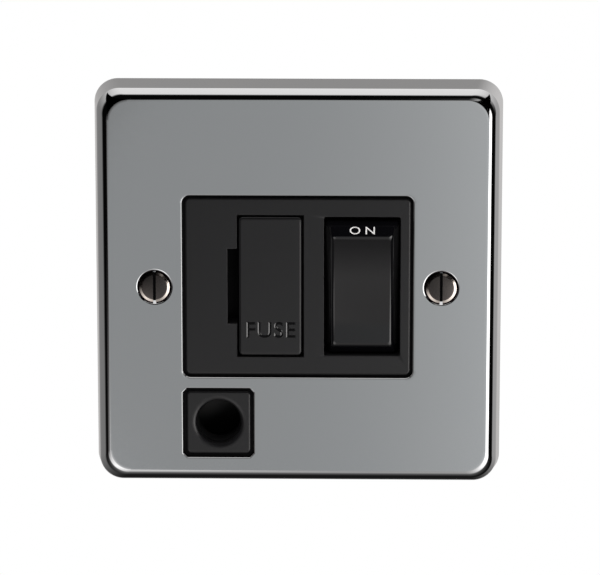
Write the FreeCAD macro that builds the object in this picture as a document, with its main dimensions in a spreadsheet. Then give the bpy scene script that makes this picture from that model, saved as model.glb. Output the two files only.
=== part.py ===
import FreeCAD, Part
import math
import os
import re

import Sketcher

# Fused spur unit for a single wall box, with a switch, a fuse carrier and a front flex outlet.
# X runs to the right, Y runs into the wall and Z is up.
# The origin is the middle of the plate in the plane of its rear rim, which lies on the wall.

VECTOR = FreeCAD.Vector
X_AXIS = VECTOR(1, 0, 0)
Y_AXIS = VECTOR(0, 1, 0)
Z_AXIS = VECTOR(0, 0, 1)

# Driving sizes in millimetres and degrees
SIZES = {
    # Pressed metal front plate
    "plate_size": 86.0,
    "plate_depth": 8.8,
    "plate_sheet": 1.2,
    "plate_corner": 5.0,
    "plate_face_corner": 7.5,
    "plate_draft": 0.85,
    "plate_roll": 2.4,
    "plate_roll_depth": 2.2,
    "window_width": 48.5,
    "window_height": 39.0,
    "window_corner": 1.6,
    "outlet_x": -16.8,
    "outlet_z": -29.45,
    "outlet_window": 15.0,
    "outlet_corner_cut": 0.9,
    # Fixing screws
    "fixing_pitch": 60.3,
    "fixing_shank": 3.5,
    "fixing_hole": 4.0,
    "fixing_head": 7.3,
    "fixing_dome": 0.55,
    "fixing_crown": 5.1,
    "fixing_crown_rise": 0.33,
    "fixing_length": 22.0,
    "fixing_neck": 2.8,
    "fixing_neck_length": 3.4,
    "fixing_slot": 0.8,
    "fixing_slot_depth": 1.0,
    # Front moulding
    "bezel_recess": 0.8,
    "bezel_gap": 0.75,
    "bezel_flange": 2.0,
    "bezel_side": 26.0,
    "bezel_top": 22.5,
    "bezel_bottom": 20.5,
    "collar_wall": 1.2,
    "collar_back": 1.4,
    # Fuse carrier and its opening
    "carrier_x": -5.78,
    "carrier_width": 13.2,
    "carrier_front": 1.6,
    "carrier_corner": 0.9,
    "carrier_gap": 0.4,
    "carrier_wall": 1.1,
    "carrier_side_step": 0.4,
    "carrier_depth": 8.5,
    "notch_reach": 2.4,
    "notch_height": 16.1,
    "notch_depth": 5.2,
    "finger_slot": 10.7,
    # Cartridge fuse
    "fuse_length": 25.4,
    "fuse_cap": 6.35,
    "fuse_cap_length": 6.0,
    "fuse_cap_wall": 0.18,
    "fuse_front_gap": 0.5,
    "fuse_end_gap": 0.65,
    "cradle_spread": 10.4,
    "cradle_rib": 1.6,
    "cradle_grip": 1.9,
    "cradle_fit": 0.05,
    # Fuse clips
    "clip_sheet": 0.5,
    "clip_width": 5.0,
    "clip_fit": 0.05,
    "clip_floor": 2.2,
    "clip_reach": 6.4,
    "clip_flare": 0.8,
    "clip_tail": 2.6,
    # Rocker
    "rocker_x": 13.52,
    "rocker_recess_width": 16.0,
    "rocker_recess_height": 29.8,
    "rocker_side_gap": 0.3,
    "rocker_end_gap": 0.45,
    "rocker_side_slope": 1.1,
    "rocker_end_slope": 2.25,
    "rocker_front": 5.6,
    "rocker_back": 1.0,
    "rocker_flank": 3.6,
    "rocker_hollow": 1.0,
    "rocker_wall": 1.3,
    "rocker_end_wall": 2.6,
    "rocker_pivot_y": 3.6,
    "rocker_tilt": 8.0,
    "pivot_pin": 2.4,
    "pivot_fit": 0.07,
    "pivot_pin_reach": 0.85,
    # Spring plungers inside the rocker
    "pole_spacing": 7.2,
    "guide_outside": 4.6,
    "guide_inside": 3.2,
    "guide_back": 3.0,
    "plunger_diameter": 3.0,
    "plunger_top": 0.5,
    "plunger_reach": 9.0,
    "plunger_gap": 0.12,
    "spring_wire": 0.4,
    "spring_coil": 2.2,
    "spring_turns": 3.5,
    # See-saw contacts
    "arm_ratio": 0.75,
    "arm_width": 3.4,
    "arm_sheet": 0.8,
    "arm_drop": 1.62,
    "arm_hub": 3.2,
    "arm_top": 8.4,
    "arm_bottom": 7.6,
    "rivet_height": 7.0,
    "rivet_diameter": 2.2,
    "rivet_head": 0.5,
    "contact_gap": 0.07,
    "contact_pad": 0.3,
    "strip_sheet": 0.8,
    "strip_width": 3.2,
    "knife_diameter": 1.2,
    "knife_fit": 0.05,
    "bridge_drop": 2.0,
    # Retaining strap behind the front moulding
    "strap_sheet": 1.0,
    "strap_side": 25.5,
    "strap_rail": 4.8,
    "strap_rail_gap": 0.75,
    "strap_gap": 0.4,
    "strap_leg_gap": 0.2,
    "strap_foot": 4.8,
    "strap_foot_width": 8.0,
    "strap_foot_height": 13.0,
    # Rear housing
    "base_width": 50.0,
    "base_height": 45.0,
    "base_back": 18.0,
    "pocket_fit": 0.3,
    "collar_floor": 1.0,
    "well_height": 22.0,
    "well_width": 14.4,
    "well_web": 1.0,
    "housing_screw_x": 22.6,
    "housing_screw_z": 19.6,
    "housing_screw": 2.6,
    "housing_screw_head": 4.4,
    "housing_screw_seat": 3.0,
    "thread_fit": 0.05,
    # Terminals
    "terminal_width": 6.4,
    "terminal_height": 7.2,
    "terminal_z": 18.4,
    "load_terminal_z": 16.3,
    "terminal_inset": 1.0,
    "terminal_bore": 3.8,
    "terminal_bore_depth": 3.0,
    "terminal_screw": 3.5,
    "terminal_screw_proud": 0.7,
    "earth_x": -21.0,
    "earth_depth": 12.0,
    "earth_recess": 8.0,
    # Flex outlet bush and cord clamp
    "bush_gap": 0.75,
    "bush_recess": 0.8,
    "bush_corner": 1.0,
    "bush_bore": 9.6,
    "bush_bevel": 0.4,
    "bush_flange": 17.4,
    "bush_tube": 12.8,
    "bush_back": 1.5,
    "apron_back": 2.2,
    "apron_side": 9.0,
    "apron_bottom": 39.0,
    "elbow_clear": 8.5,
    "elbow_wall": 1.5,
    "elbow_drop": 0.6,
    "clamp_x": -0.6,
    "clamp_z": -30.9,
    "clamp_width": 5.6,
    "clamp_end": 2.5,
    "clamp_half_pitch": 5.8,
    "clamp_post": 4.2,
    "clamp_clear": 6.7,
    "clamp_bar": 2.2,
    "clamp_screw": 2.6,
    "clamp_screw_head": 4.8,
    "clamp_screw_depth": 6.0,
    "screw_head_height": 1.2,
    "screw_slot": 0.7,
}

# Places that follow from the driving sizes
PLACES = {
    "face_y": "-plate_depth",
    "sheet_y": "face_y + plate_sheet",
    "bezel_y": "face_y + bezel_recess",
    "flange_y": "sheet_y + bezel_flange",
    "strap_y": "flange_y + strap_sheet",
    "collar_y": "-collar_back",
    "fixing_x": "fixing_pitch / 2",
    "carrier_side": "carrier_width / 2",
    "carrier_end": "fuse_length / 2 + fuse_end_gap + carrier_wall + carrier_side_step",
    "carrier_back_y": "bezel_y + carrier_front",
    "fuse_radius": "fuse_cap / 2",
    "fuse_y": "carrier_back_y + fuse_front_gap + fuse_radius",
    "tube_radius": "fuse_radius - fuse_cap_wall",
    "clip_z": "fuse_length / 2 - fuse_cap_length / 2",
    "pivot_y": "-rocker_pivot_y",
    "live_x": "rocker_x - pole_spacing / 2",
    "neutral_x": "rocker_x + pole_spacing / 2",
    "arm_y": "pivot_y + plunger_reach + plunger_gap + arm_drop",
    "rivet_y": "rivet_head + arm_sheet - arm_drop",
    "rivet_edge": "rivet_height + rivet_diameter / 2",
    "pad_y": "arm_y + rivet_y * cos(arm_tilt) + rivet_edge * sin(arm_tilt) + contact_gap",
    "fixed_y": "pad_y + contact_pad",
    "fixed_back_y": "fixed_y + strip_sheet",
    "bridge_y": "arm_y + bridge_drop",
    "bridge_back_y": "bridge_y + strip_sheet",
    "terminal_back_y": "base_back - terminal_inset",
    "base_side": "base_width / 2",
    "base_end": "base_height / 2",
    "well_side": "well_width / 2",
    "well_end": "well_height / 2",
    "recess_side": "rocker_recess_width / 2",
    "recess_end": "rocker_recess_height / 2",
    "rocker_base_side": "recess_side - rocker_side_gap",
    "rocker_base_end": "recess_end - rocker_end_gap",
    "rocker_face_side": "rocker_base_side - rocker_side_slope",
    "rocker_face_end": "rocker_base_end - rocker_end_slope",
    "arm_tilt": "rocker_tilt * arm_ratio",
    "strap_window_end": "max(carrier_end + carrier_gap; recess_end) + collar_wall + strap_rail_gap",
    "strap_end": "strap_window_end + strap_rail",
    "earth_back_y": "strap_y + earth_depth",
    "bush_side": "outlet_window / 2 - bush_gap",
    "bush_y": "face_y + bush_recess",
    "clamp_y": "clamp_clear - apron_back",
    "clamp_back_y": "clamp_y + clamp_bar",
}

doc = FreeCAD.newDocument("fused_spur_unit")
sheet = doc.addObject("Spreadsheet::Sheet", "dims")
for row, (alias, size) in enumerate(SIZES.items(), start=1):
    sheet.set(f"A{row}", str(size))
    sheet.setAlias(f"A{row}", alias)
doc.recompute()

FUNCTIONS = ("sin", "cos", "max")


def formula(text):
    """Write an expression in words as one that reads the sheet."""

    def spell(match):
        word = match.group(0)
        if word in PLACES:
            return "(" + formula(PLACES[word]) + ")"
        return word if word in FUNCTIONS else "dims." + word

    return re.sub(r"[a-z][a-z_]*", spell, "0 + " + text)


def size_of(text):
    """Work out an expression in words."""
    return float(sheet.evalExpression(formula(text)))


def bind(thing, name, text):
    """Tie a property to the sheet."""
    thing.setExpression(name, formula(text))


def place(thing, x="0", y="0", z="0"):
    """Tie the place of an object to the sheet."""
    bind(thing, "Placement.Base.x", x)
    bind(thing, "Placement.Base.y", y)
    bind(thing, "Placement.Base.z", z)
    return thing


def block(name, x, y, z):
    """A box between two places along each axis."""
    box = doc.addObject("Part::Box", name)
    for side, (low, high) in zip(("Length", "Width", "Height"), (x, y, z)):
        bind(box, side, f"({high}) - ({low})")
    return place(box, x[0], y[0], z[0])


def rod(name, diameter, axis, start, x="0", y="0", z="0", length="1"):
    """A round bar along one axis, from a start place."""
    cylinder = doc.addObject("Part::Cylinder", name)
    bind(cylinder, "Radius", f"({diameter}) / 2")
    bind(cylinder, "Height", length)
    cylinder.Placement.Rotation = FreeCAD.Rotation(Z_AXIS, axis)
    places = {"x": x, "y": y, "z": z}
    places["xyz"[[axis.x, axis.y, axis.z].index(1)]] = start
    return place(cylinder, **places)


def join(name, *pieces):
    """Fuse several objects into one."""
    fused = doc.addObject("Part::MultiFuse", name)
    fused.Shapes = list(pieces)
    fused.Refine = True
    return fused


def cut(name, base, *tools):
    """Take one or more objects out of another."""
    result = doc.addObject("Part::Cut", name)
    result.Base = base
    result.Tool = tools[0] if len(tools) == 1 else join(name + "_tools", *tools)
    result.Refine = True
    return result


def body_of(name):
    """A new part design body."""
    return doc.addObject("PartDesign::Body", name)


def sketch_on(body, name, role, offset="0"):
    """A sketch on one of the body's own origin planes, moved along its normal."""
    sketch = body.newObject("Sketcher::SketchObject", name)
    plane = [item for item in body.Origin.OriginFeatures if item.Role == role][0]
    sketch.AttachmentSupport = [(plane, "")]
    sketch.MapMode = "FlatFace"
    bind(sketch, "AttachmentOffset.Base.z", offset)
    return sketch


def pin_point(sketch, item, point, across, up):
    """Tie a sketch point to the sheet, measured from the sketch's origin."""
    for kind, text in (("DistanceX", across), ("DistanceY", up)):
        number = sketch.addConstraint(Sketcher.Constraint(kind, -1, 1, item, point, size_of(text)))
        bind(sketch, f"Constraints[{number}]", text)


def outline(sketch, corners):
    """A closed outline of straight edges through corners given in words."""
    first = sketch.GeometryCount
    points = [VECTOR(size_of(across), size_of(up), 0) for across, up in corners]
    count = len(points)
    for index in range(count):
        sketch.addGeometry(Part.LineSegment(points[index], points[(index + 1) % count]))
    for index in range(count):
        following = first + (index + 1) % count
        sketch.addConstraint(Sketcher.Constraint("Coincident", first + index, 2, following, 1))
    for index, (across, up) in enumerate(corners):
        pin_point(sketch, first + index, 1, across, up)


def oblong(sketch, left, right, low, high):
    """A closed rectangle between four places."""
    outline(sketch, [(left, low), (right, low), (right, high), (left, high)])


def ring(sketch, across, up, diameter):
    """A circle."""
    centre = VECTOR(size_of(across), size_of(up), 0)
    item = sketch.addGeometry(Part.Circle(centre, Z_AXIS, size_of(diameter) / 2))
    pin_point(sketch, item, 3, across, up)
    number = sketch.addConstraint(Sketcher.Constraint("Radius", item, size_of(diameter) / 2))
    bind(sketch, f"Constraints[{number}]", f"({diameter}) / 2")


def pad(body, sketch, length, middle=False, backward=False):
    """Add material to a body from a sketch."""
    doc.recompute()
    feature = body.newObject("PartDesign::Pad", sketch.Name + "_pad")
    feature.Profile = sketch
    bind(feature, "Length", length)
    feature.Midplane = middle
    feature.Reversed = backward
    doc.recompute()
    return feature


def turn(body, sketch):
    """Revolve a sketch once round its upright axis."""
    doc.recompute()
    feature = body.newObject("PartDesign::Revolution", sketch.Name + "_turn")
    feature.Profile = sketch
    feature.ReferenceAxis = (sketch, ["V_Axis"])
    feature.Angle = 360.0
    doc.recompute()
    return feature


NODES = []


def node(name, thing):
    """Name a finished sub-part."""
    thing.Label = name
    NODES.append(thing)
    return thing


def rounded_wire(half_width, half_height, radius, y, x=0.0, z=0.0):
    """A rectangle with round corners, facing the front."""
    left, right, low, high = x - half_width, x + half_width, z - half_height, z + half_height
    lean = radius * (1 - math.sqrt(0.5))
    corners = (
        (right, high, -1, -1),
        (left, high, 1, -1),
        (left, low, 1, 1),
        (right, low, -1, 1),
    )
    arcs = []
    for number, (corner_x, corner_z, inward_x, inward_z) in enumerate(corners):
        on_side = VECTOR(corner_x, y, corner_z + inward_z * radius)
        on_end = VECTOR(corner_x + inward_x * radius, y, corner_z)
        middle = VECTOR(corner_x + inward_x * lean, y, corner_z + inward_z * lean)
        ends = (on_side, on_end) if number % 2 == 0 else (on_end, on_side)
        arcs.append((ends[0], middle, ends[1]))
    edges = []
    for number, (start, middle, end) in enumerate(arcs):
        edges.append(Part.Arc(start, middle, end).toShape())
        edges.append(Part.LineSegment(end, arcs[(number + 1) % 4][0]).toShape())
    return Part.Wire(edges)


def rounded_block(half_width, half_height, radius, y_from, y_to, x=0.0, z=0.0):
    """A block with four round upright edges, between two depths."""
    face = Part.Face(rounded_wire(half_width, half_height, radius, y_from, x, z))
    return face.extrude(VECTOR(0, y_to - y_from, 0))


def frustum(small, large):
    """A loft between two rounded rectangles, each half width, half height, radius and y."""
    return Part.makeLoft([rounded_wire(*small), rounded_wire(*large)], True, True)


def feature(name, shape):
    """A shape made directly."""
    thing = doc.addObject("Part::Feature", name)
    thing.Shape = shape
    return thing


# Front plate: one pressing with drafted sides that roll over into a flat face
ROLL_STEPS = 6


def plate_skin(inset, back_y):
    """The solid inside one surface of the pressing, inset from the outside by the sheet."""
    half = size_of("plate_size / 2") - inset
    start_y = size_of("plate_roll_depth - plate_depth")
    start = half - size_of("plate_draft")
    roll = size_of("plate_roll") - inset
    roll_depth = size_of("plate_roll_depth") - inset
    corner = size_of("plate_corner")
    face_corner = size_of("plate_face_corner")
    rolled = []
    for step in range(ROLL_STEPS + 1):
        angle = math.radians(90 * step / ROLL_STEPS)
        share = 1 - math.cos(angle)
        reach = start - roll * share
        radius = corner - inset * (1 - share) + (face_corner - corner) * share
        rolled.append(rounded_wire(reach, reach, radius, start_y - roll_depth * math.sin(angle)))
    side = Part.makeLoft([rounded_wire(half, half, corner - inset, back_y), rolled[0]], True, True)
    return side.fuse(Part.makeLoft(rolled, True, False))


def outlet_opening():
    """The square opening for the flex outlet, with its corners cut."""
    half = size_of("outlet_window / 2")
    short = half - size_of("outlet_corner_cut")
    x, z = size_of("outlet_x"), size_of("outlet_z")
    y = size_of("face_y")
    points = [
        (half, short),
        (short, half),
        (-short, half),
        (-half, short),
        (-half, -short),
        (-short, -half),
        (short, -half),
        (half, -short),
    ]
    wire = Part.makePolygon([VECTOR(x + a, y, z + b) for a, b in points + points[:1]])
    return Part.Face(wire).extrude(VECTOR(0, size_of("plate_sheet"), 0))


def countersink(extra):
    """The cone under a fixing screw's head, wider by a wall."""
    head, hole = size_of("fixing_head / 2") + extra, size_of("fixing_hole / 2") + extra
    return Part.makeCone(head, hole, head - hole, VECTOR(0, size_of("face_y"), 0), Y_AXIS)


def front_plate():
    """The whole pressing with its dimples and openings."""
    sheet_y = size_of("sheet_y")
    shell = plate_skin(0.0, 0.0).cut(plate_skin(size_of("plate_sheet"), 0.0))
    window = rounded_block(
        size_of("window_width / 2"),
        size_of("window_height / 2"),
        size_of("window_corner"),
        size_of("face_y"),
        sheet_y,
    )
    shell = shell.cut(window).cut(outlet_opening())
    hole_depth = size_of("plate_sheet") + size_of("fixing_head / 2 - fixing_hole / 2")
    for side in (-1, 1):
        move = VECTOR(side * size_of("fixing_x"), 0, 0)
        cup = countersink(size_of("plate_sheet / 2"))
        cup.translate(move)
        seat = countersink(0.0)
        seat.translate(move)
        start = VECTOR(0, size_of("face_y"), 0)
        hole = Part.makeCylinder(size_of("fixing_hole / 2"), hole_depth, start, Y_AXIS)
        hole.translate(move)
        shell = shell.fuse(cup).cut(seat).cut(hole)
    return shell.removeSplitter()


node("front_plate", feature("plate", front_plate()))


# Fixing screws: slotted raised countersunk heads, turned from rod
def fixing_screw(name, x):
    body = body_of(name + "_body")
    sketch = sketch_on(body, name + "_profile", "XZ_Plane")
    head, shank, neck = "fixing_head / 2", "fixing_shank / 2", "fixing_neck / 2"
    points = [("0", "-fixing_length"), (shank, "-fixing_length"), (shank, "-fixing_neck_length")]
    points += [(neck, "-fixing_neck_length"), (neck, f"{neck} - {head}"), (head, "0")]
    points += [("fixing_crown / 2", "fixing_crown_rise"), ("0", "fixing_dome")]
    outline(sketch, points)
    turn(body, sketch)
    slot = sketch_on(body, name + "_slot", "XY_Plane", "fixing_dome - fixing_slot_depth")
    oblong(slot, "-fixing_slot / 2", "fixing_slot / 2", f"-{head}", head)
    doc.recompute()
    groove = body.newObject("PartDesign::Pocket", name + "_groove")
    groove.Profile = slot
    groove.Reversed = True
    bind(groove, "Length", "fixing_slot_depth + fixing_dome")
    doc.recompute()
    body.Placement.Rotation = FreeCAD.Rotation(X_AXIS, 90)
    place(body, x, "face_y")
    return node(name, body)


fixing_screw("left_fixing_screw", "-fixing_x")
fixing_screw("right_fixing_screw", "fixing_x")

# Front moulding: a flange behind the plate, a raised panel in the window and two collars
flange = block(
    "flange",
    ("-bezel_side", "bezel_side"),
    ("sheet_y", "flange_y"),
    ("-bezel_bottom", "bezel_top"),
)
panel = feature(
    "panel",
    rounded_block(
        size_of("window_width / 2 - bezel_gap"),
        size_of("window_height / 2 - bezel_gap"),
        size_of("window_corner"),
        size_of("bezel_y"),
        size_of("flange_y"),
    ),
)
carrier_left = "carrier_x - carrier_side - carrier_gap"
carrier_right = "carrier_x + carrier_side + carrier_gap"
carrier_end = "carrier_end + carrier_gap"
notch_left = "carrier_x - carrier_side - notch_reach"
tunnel = block(
    "tunnel",
    (f"{carrier_left} - collar_wall", f"{carrier_right} + collar_wall"),
    ("sheet_y", "collar_y"),
    (f"-({carrier_end} + collar_wall)", f"{carrier_end} + collar_wall"),
)
notch_box = block(
    "notch_box",
    (f"{notch_left} - collar_wall", "carrier_x"),
    ("sheet_y", "bezel_y + notch_depth + collar_wall"),
    ("-(notch_height / 2 + collar_wall)", "notch_height / 2 + collar_wall"),
)
collar = block(
    "collar",
    ("rocker_x - recess_side - collar_wall", "rocker_x + recess_side + collar_wall"),
    ("sheet_y", "collar_y"),
    ("-(recess_end + collar_wall)", "recess_end + collar_wall"),
)
carrier_hole = block(
    "carrier_hole",
    (carrier_left, carrier_right),
    ("bezel_y", "collar_y"),
    (f"-({carrier_end})", carrier_end),
)
notch_hole = block(
    "notch_hole",
    (notch_left, "carrier_x"),
    ("bezel_y", "bezel_y + notch_depth"),
    ("-notch_height / 2", "notch_height / 2"),
)
rocker_hole = block(
    "rocker_hole",
    ("rocker_x - recess_side", "rocker_x + recess_side"),
    ("bezel_y", "collar_y"),
    ("-recess_end", "recess_end"),
)
pin_hole = rod(
    "pin_hole",
    "pivot_pin + 2 * pivot_fit",
    X_AXIS,
    "rocker_x - recess_side - collar_wall",
    y="pivot_y",
    length="rocker_recess_width + 2 * collar_wall",
)
bezel_mass = join("bezel_mass", flange, panel, tunnel, notch_box, collar)
node("insert_bezel", cut("bezel", bezel_mass, carrier_hole, notch_hole, rocker_hole, pin_hole))

# Retaining strap: a steel frame behind the moulding's flange, on four feet welded to the plate
frame = block(
    "frame",
    ("-strap_side", "strap_side"),
    ("flange_y", "strap_y"),
    ("-strap_end", "strap_end"),
)
frame_window = block(
    "frame_window",
    (f"{notch_left} - collar_wall - strap_gap", "rocker_x + recess_side + collar_wall + strap_gap"),
    ("flange_y", "strap_y"),
    ("-strap_window_end", "strap_window_end"),
)
strap_pieces = []
leg_inside = "bezel_side + strap_leg_gap"
leg_outside = "bezel_side + strap_leg_gap + strap_sheet"
for side, sign in (("left", "-"), ("right", "")):
    for level, up in (("lower", "-"), ("upper", "")):
        heights = (
            f"{up}strap_foot_height - strap_foot_width / 2",
            f"{up}strap_foot_height + strap_foot_width / 2",
        )
        spans = {
            "arm": ("strap_side - strap_sheet", leg_outside, "flange_y", "strap_y"),
            "leg": (leg_inside, leg_outside, "sheet_y", "strap_y"),
            "foot": (leg_inside, f"{leg_inside} + strap_foot", "sheet_y", "sheet_y + strap_sheet"),
        }
        for part, (near, far, front, back) in spans.items():
            across = (near, far) if sign == "" else (f"-({far})", f"-({near})")
            strap_pieces.append(block(f"{side}_{level}_{part}", across, (front, back), heights))
strap_holes = []
SCREW_CORNERS = (("-", "-"), ("-", ""), ("", "-"), ("", ""))
for number, (side, up) in enumerate(SCREW_CORNERS):
    strap_holes.append(
        rod(
            f"strap_hole_{number}",
            "housing_screw + 2 * thread_fit",
            Y_AXIS,
            "flange_y",
            x=f"{side}housing_screw_x",
            z=f"{up}housing_screw_z",
            length="strap_sheet",
        )
    )
strap_mass = join("strap_mass", frame, *strap_pieces)
node("retaining_strap", cut("strap", strap_mass, frame_window, *strap_holes))

# Fuse carrier: a shallow drawer with a front panel, side and end walls and two fuse cradles
carrier_panel = feature(
    "carrier_panel",
    rounded_block(
        size_of("carrier_side"),
        size_of("carrier_end"),
        size_of("carrier_corner"),
        size_of("bezel_y"),
        size_of("carrier_back_y"),
        size_of("carrier_x"),
    ),
)
drawer_side = "carrier_side - carrier_side_step"
drawer_end = "carrier_end - carrier_side_step"
drawer = block(
    "drawer",
    (f"carrier_x - ({drawer_side})", f"carrier_x + {drawer_side}"),
    ("carrier_back_y", "bezel_y + carrier_depth"),
    (f"-({drawer_end})", drawer_end),
)
drawer_hollow = block(
    "drawer_hollow",
    (f"carrier_x - ({drawer_side} - carrier_wall)", f"carrier_x + {drawer_side} - carrier_wall"),
    ("carrier_back_y", "bezel_y + carrier_depth"),
    (f"-({drawer_end} - carrier_wall)", f"{drawer_end} - carrier_wall"),
)
finger_slot = block(
    "finger_slot",
    (f"carrier_x - ({drawer_side})", f"carrier_x - ({drawer_side} - carrier_wall)"),
    ("carrier_back_y", "carrier_back_y + carrier_front"),
    ("-finger_slot / 2", "finger_slot / 2"),
)
carrier_mass = join("carrier_mass", carrier_panel, drawer)
carrier_shell = cut("carrier_shell", carrier_mass, drawer_hollow, finger_slot)
cradles = []
for level, up in (("lower", "-"), ("upper", "")):
    rib = block(
        f"{level}_rib",
        (f"carrier_x - ({drawer_side})", f"carrier_x + {drawer_side}"),
        ("carrier_back_y", "fuse_y + cradle_grip"),
        (f"{up}cradle_spread / 2 - cradle_rib / 2", f"{up}cradle_spread / 2 + cradle_rib / 2"),
    )
    cradles.append(rib)
cradle_low = "-cradle_spread / 2 - cradle_rib / 2"
cradle_round = rod(
    "cradle_round",
    "2 * (tube_radius + cradle_fit)",
    Z_AXIS,
    cradle_low,
    x="carrier_x",
    y="fuse_y",
    length="cradle_spread + cradle_rib",
)
cradle_throat = block(
    "cradle_throat",
    ("carrier_x - tube_radius - cradle_fit", "carrier_x + tube_radius + cradle_fit"),
    ("fuse_y", "fuse_y + cradle_grip"),
    (cradle_low, "cradle_spread / 2 + cradle_rib / 2"),
)
ribs = cut("cradle_ribs", join("cradle_mass", *cradles), cradle_round, cradle_throat)
node("fuse_carrier", join("carrier", carrier_shell, ribs))

# Cartridge fuse: a ceramic tube with a metal cap pressed on each end
fuse_half = "fuse_length / 2"
tube_half = "fuse_length / 2 - fuse_cap_wall"
tube = rod(
    "tube",
    "2 * tube_radius",
    Z_AXIS,
    f"-({tube_half})",
    x="carrier_x",
    y="fuse_y",
    length=f"2 * ({tube_half})",
)
node("fuse_tube", tube)
caps = []
for level, start, inside in (
    ("lower", f"-{fuse_half}", f"fuse_cap_wall - {fuse_half}"),
    ("upper", f"{fuse_half} - fuse_cap_length", f"{fuse_half} - fuse_cap_length"),
):
    outer = rod(
        f"{level}_cap_outer",
        "fuse_cap",
        Z_AXIS,
        start,
        x="carrier_x",
        y="fuse_y",
        length="fuse_cap_length",
    )
    inner = rod(
        f"{level}_cap_inner",
        "2 * tube_radius",
        Z_AXIS,
        inside,
        x="carrier_x",
        y="fuse_y",
        length="fuse_cap_length - fuse_cap_wall",
    )
    caps.append(cut(f"{level}_cap", outer, inner))
end_caps = doc.addObject("Part::Compound", "end_caps")
end_caps.Links = caps
node("fuse_end_caps", end_caps)


# Fuse clips: springy forks, each folded from one strip with its own tail to a terminal
def clip_fork(body, level, z):
    """The fork that grips one cap, drawn from above and as tall as the clip."""
    sketch = sketch_on(body, level + "_fork", "XY_Plane", z)
    inside = "(fuse_radius + clip_fit)"
    outside = "(fuse_radius + clip_fit + clip_sheet)"
    tip = "(clip_floor - clip_reach)"
    right = [
        (f"carrier_x + {outside}", "clip_floor"),
        (f"carrier_x + {outside}", tip),
        (f"carrier_x + {outside} + clip_flare", f"{tip} - clip_flare"),
        (f"carrier_x + {inside} + clip_flare", f"{tip} - clip_flare"),
        (f"carrier_x + {inside}", tip),
        (f"carrier_x + {inside}", "clip_floor - clip_sheet"),
    ]
    left = [
        (f"carrier_x - {inside}", "clip_floor - clip_sheet"),
        (f"carrier_x - {inside}", tip),
        (f"carrier_x - {inside} - clip_flare", f"{tip} - clip_flare"),
        (f"carrier_x - {outside} - clip_flare", f"{tip} - clip_flare"),
        (f"carrier_x - {outside}", tip),
        (f"carrier_x - {outside}", "clip_floor"),
    ]
    outline(sketch, right + left)
    pad(body, sketch, "clip_width", middle=True)


def clip_tail(body, level, points):
    """The strip behind the fork, drawn from the side."""
    sketch = sketch_on(body, level + "_tail", "YZ_Plane", "carrier_x")
    outline(sketch, points)
    pad(body, sketch, "clip_tail", middle=True)


upper_clip = body_of("upper_clip")
clip_fork(upper_clip, "upper", "clip_z")
upper_low = "clip_z - strip_sheet / 2"
upper_high = "terminal_z + terminal_height / 2 - strip_sheet"
clip_tail(
    upper_clip,
    "upper",
    [
        ("clip_floor - clip_sheet", upper_low),
        ("fixed_back_y", upper_low),
        ("fixed_back_y", upper_high),
        ("fixed_y", upper_high),
        ("fixed_y", f"{upper_low} + strip_sheet"),
        ("clip_floor - clip_sheet", f"{upper_low} + strip_sheet"),
    ],
)
node("upper_fuse_clip", upper_clip)

lower_clip = body_of("lower_clip")
clip_fork(lower_clip, "lower", "-clip_z")
lower_low = "-clip_z - strip_sheet / 2"
clip_tail(
    lower_clip,
    "lower",
    [
        ("clip_floor - clip_sheet", lower_low),
        ("bridge_y", lower_low),
        ("bridge_y", f"{lower_low} + strip_sheet"),
        ("clip_floor - clip_sheet", f"{lower_low} + strip_sheet"),
    ],
)
node("lower_fuse_clip", lower_clip)


# Rocker: a hollow moulding, drawn about its pivot and tilted into the on position
def rocker_shape():
    """The moulding with its dished face, drafted flanks, pivot pins and plunger guides."""
    front, back = size_of("-rocker_front"), size_of("rocker_back")
    flank = size_of("rocker_flank") + front
    wall = size_of("rocker_wall")
    half_width, half_height = size_of("rocker_face_side"), size_of("rocker_face_end")
    base_width, base_height = size_of("rocker_base_side"), size_of("rocker_base_end")
    corner = size_of("rocker_wall / 2")
    head = frustum((half_width, half_height, corner, front), (base_width, base_height, corner, flank))
    outer = head.fuse(rounded_block(base_width, base_height, corner, flank, back))
    sag = size_of("rocker_hollow")
    dish = (half_height**2 + sag**2) / (2 * sag)
    start = VECTOR(-base_width, front + sag - dish, 0)
    outer = outer.cut(Part.makeCylinder(dish, 2 * base_width, start, X_AXIS))
    ceiling = front + sag + wall
    inner = frustum(
        (half_width - wall, half_height - size_of("rocker_end_wall"), corner, ceiling),
        (base_width - wall, base_height - wall, corner, flank + wall),
    )
    inner = inner.fuse(rounded_block(base_width - wall, base_height - wall, corner, flank + wall, back))
    shell = outer.cut(inner)
    guide_back = size_of("guide_back")
    for side in (-1, 1):
        spot = VECTOR(side * size_of("pole_spacing / 2"), ceiling - wall / 2, 0)
        depth = guide_back - spot.y
        shell = shell.fuse(Part.makeCylinder(size_of("guide_outside / 2"), depth, spot, Y_AXIS))
        hollow = VECTOR(spot.x, ceiling, 0)
        shell = shell.cut(Part.makeCylinder(size_of("guide_inside / 2"), depth, hollow, Y_AXIS))
        pin_start = VECTOR(side * (base_width - wall / 2), 0, 0)
        pin_length = size_of("recess_side + pivot_pin_reach") - base_width + wall / 2
        pin = Part.makeCylinder(size_of("pivot_pin / 2"), pin_length, pin_start, X_AXIS * side)
        shell = shell.fuse(pin)
    return shell.removeSplitter()


def tilt(thing, x, y, angle, sign=1):
    """Turn a piece about its own pivot and tie the pivot and the angle to the sheet."""
    thing.Placement.Rotation = FreeCAD.Rotation(X_AXIS, sign * size_of(angle))
    return place(thing, x, y)


node("rocker", tilt(feature("rocker_moulding", rocker_shape()), "rocker_x", "pivot_y", "rocker_tilt"))


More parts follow.
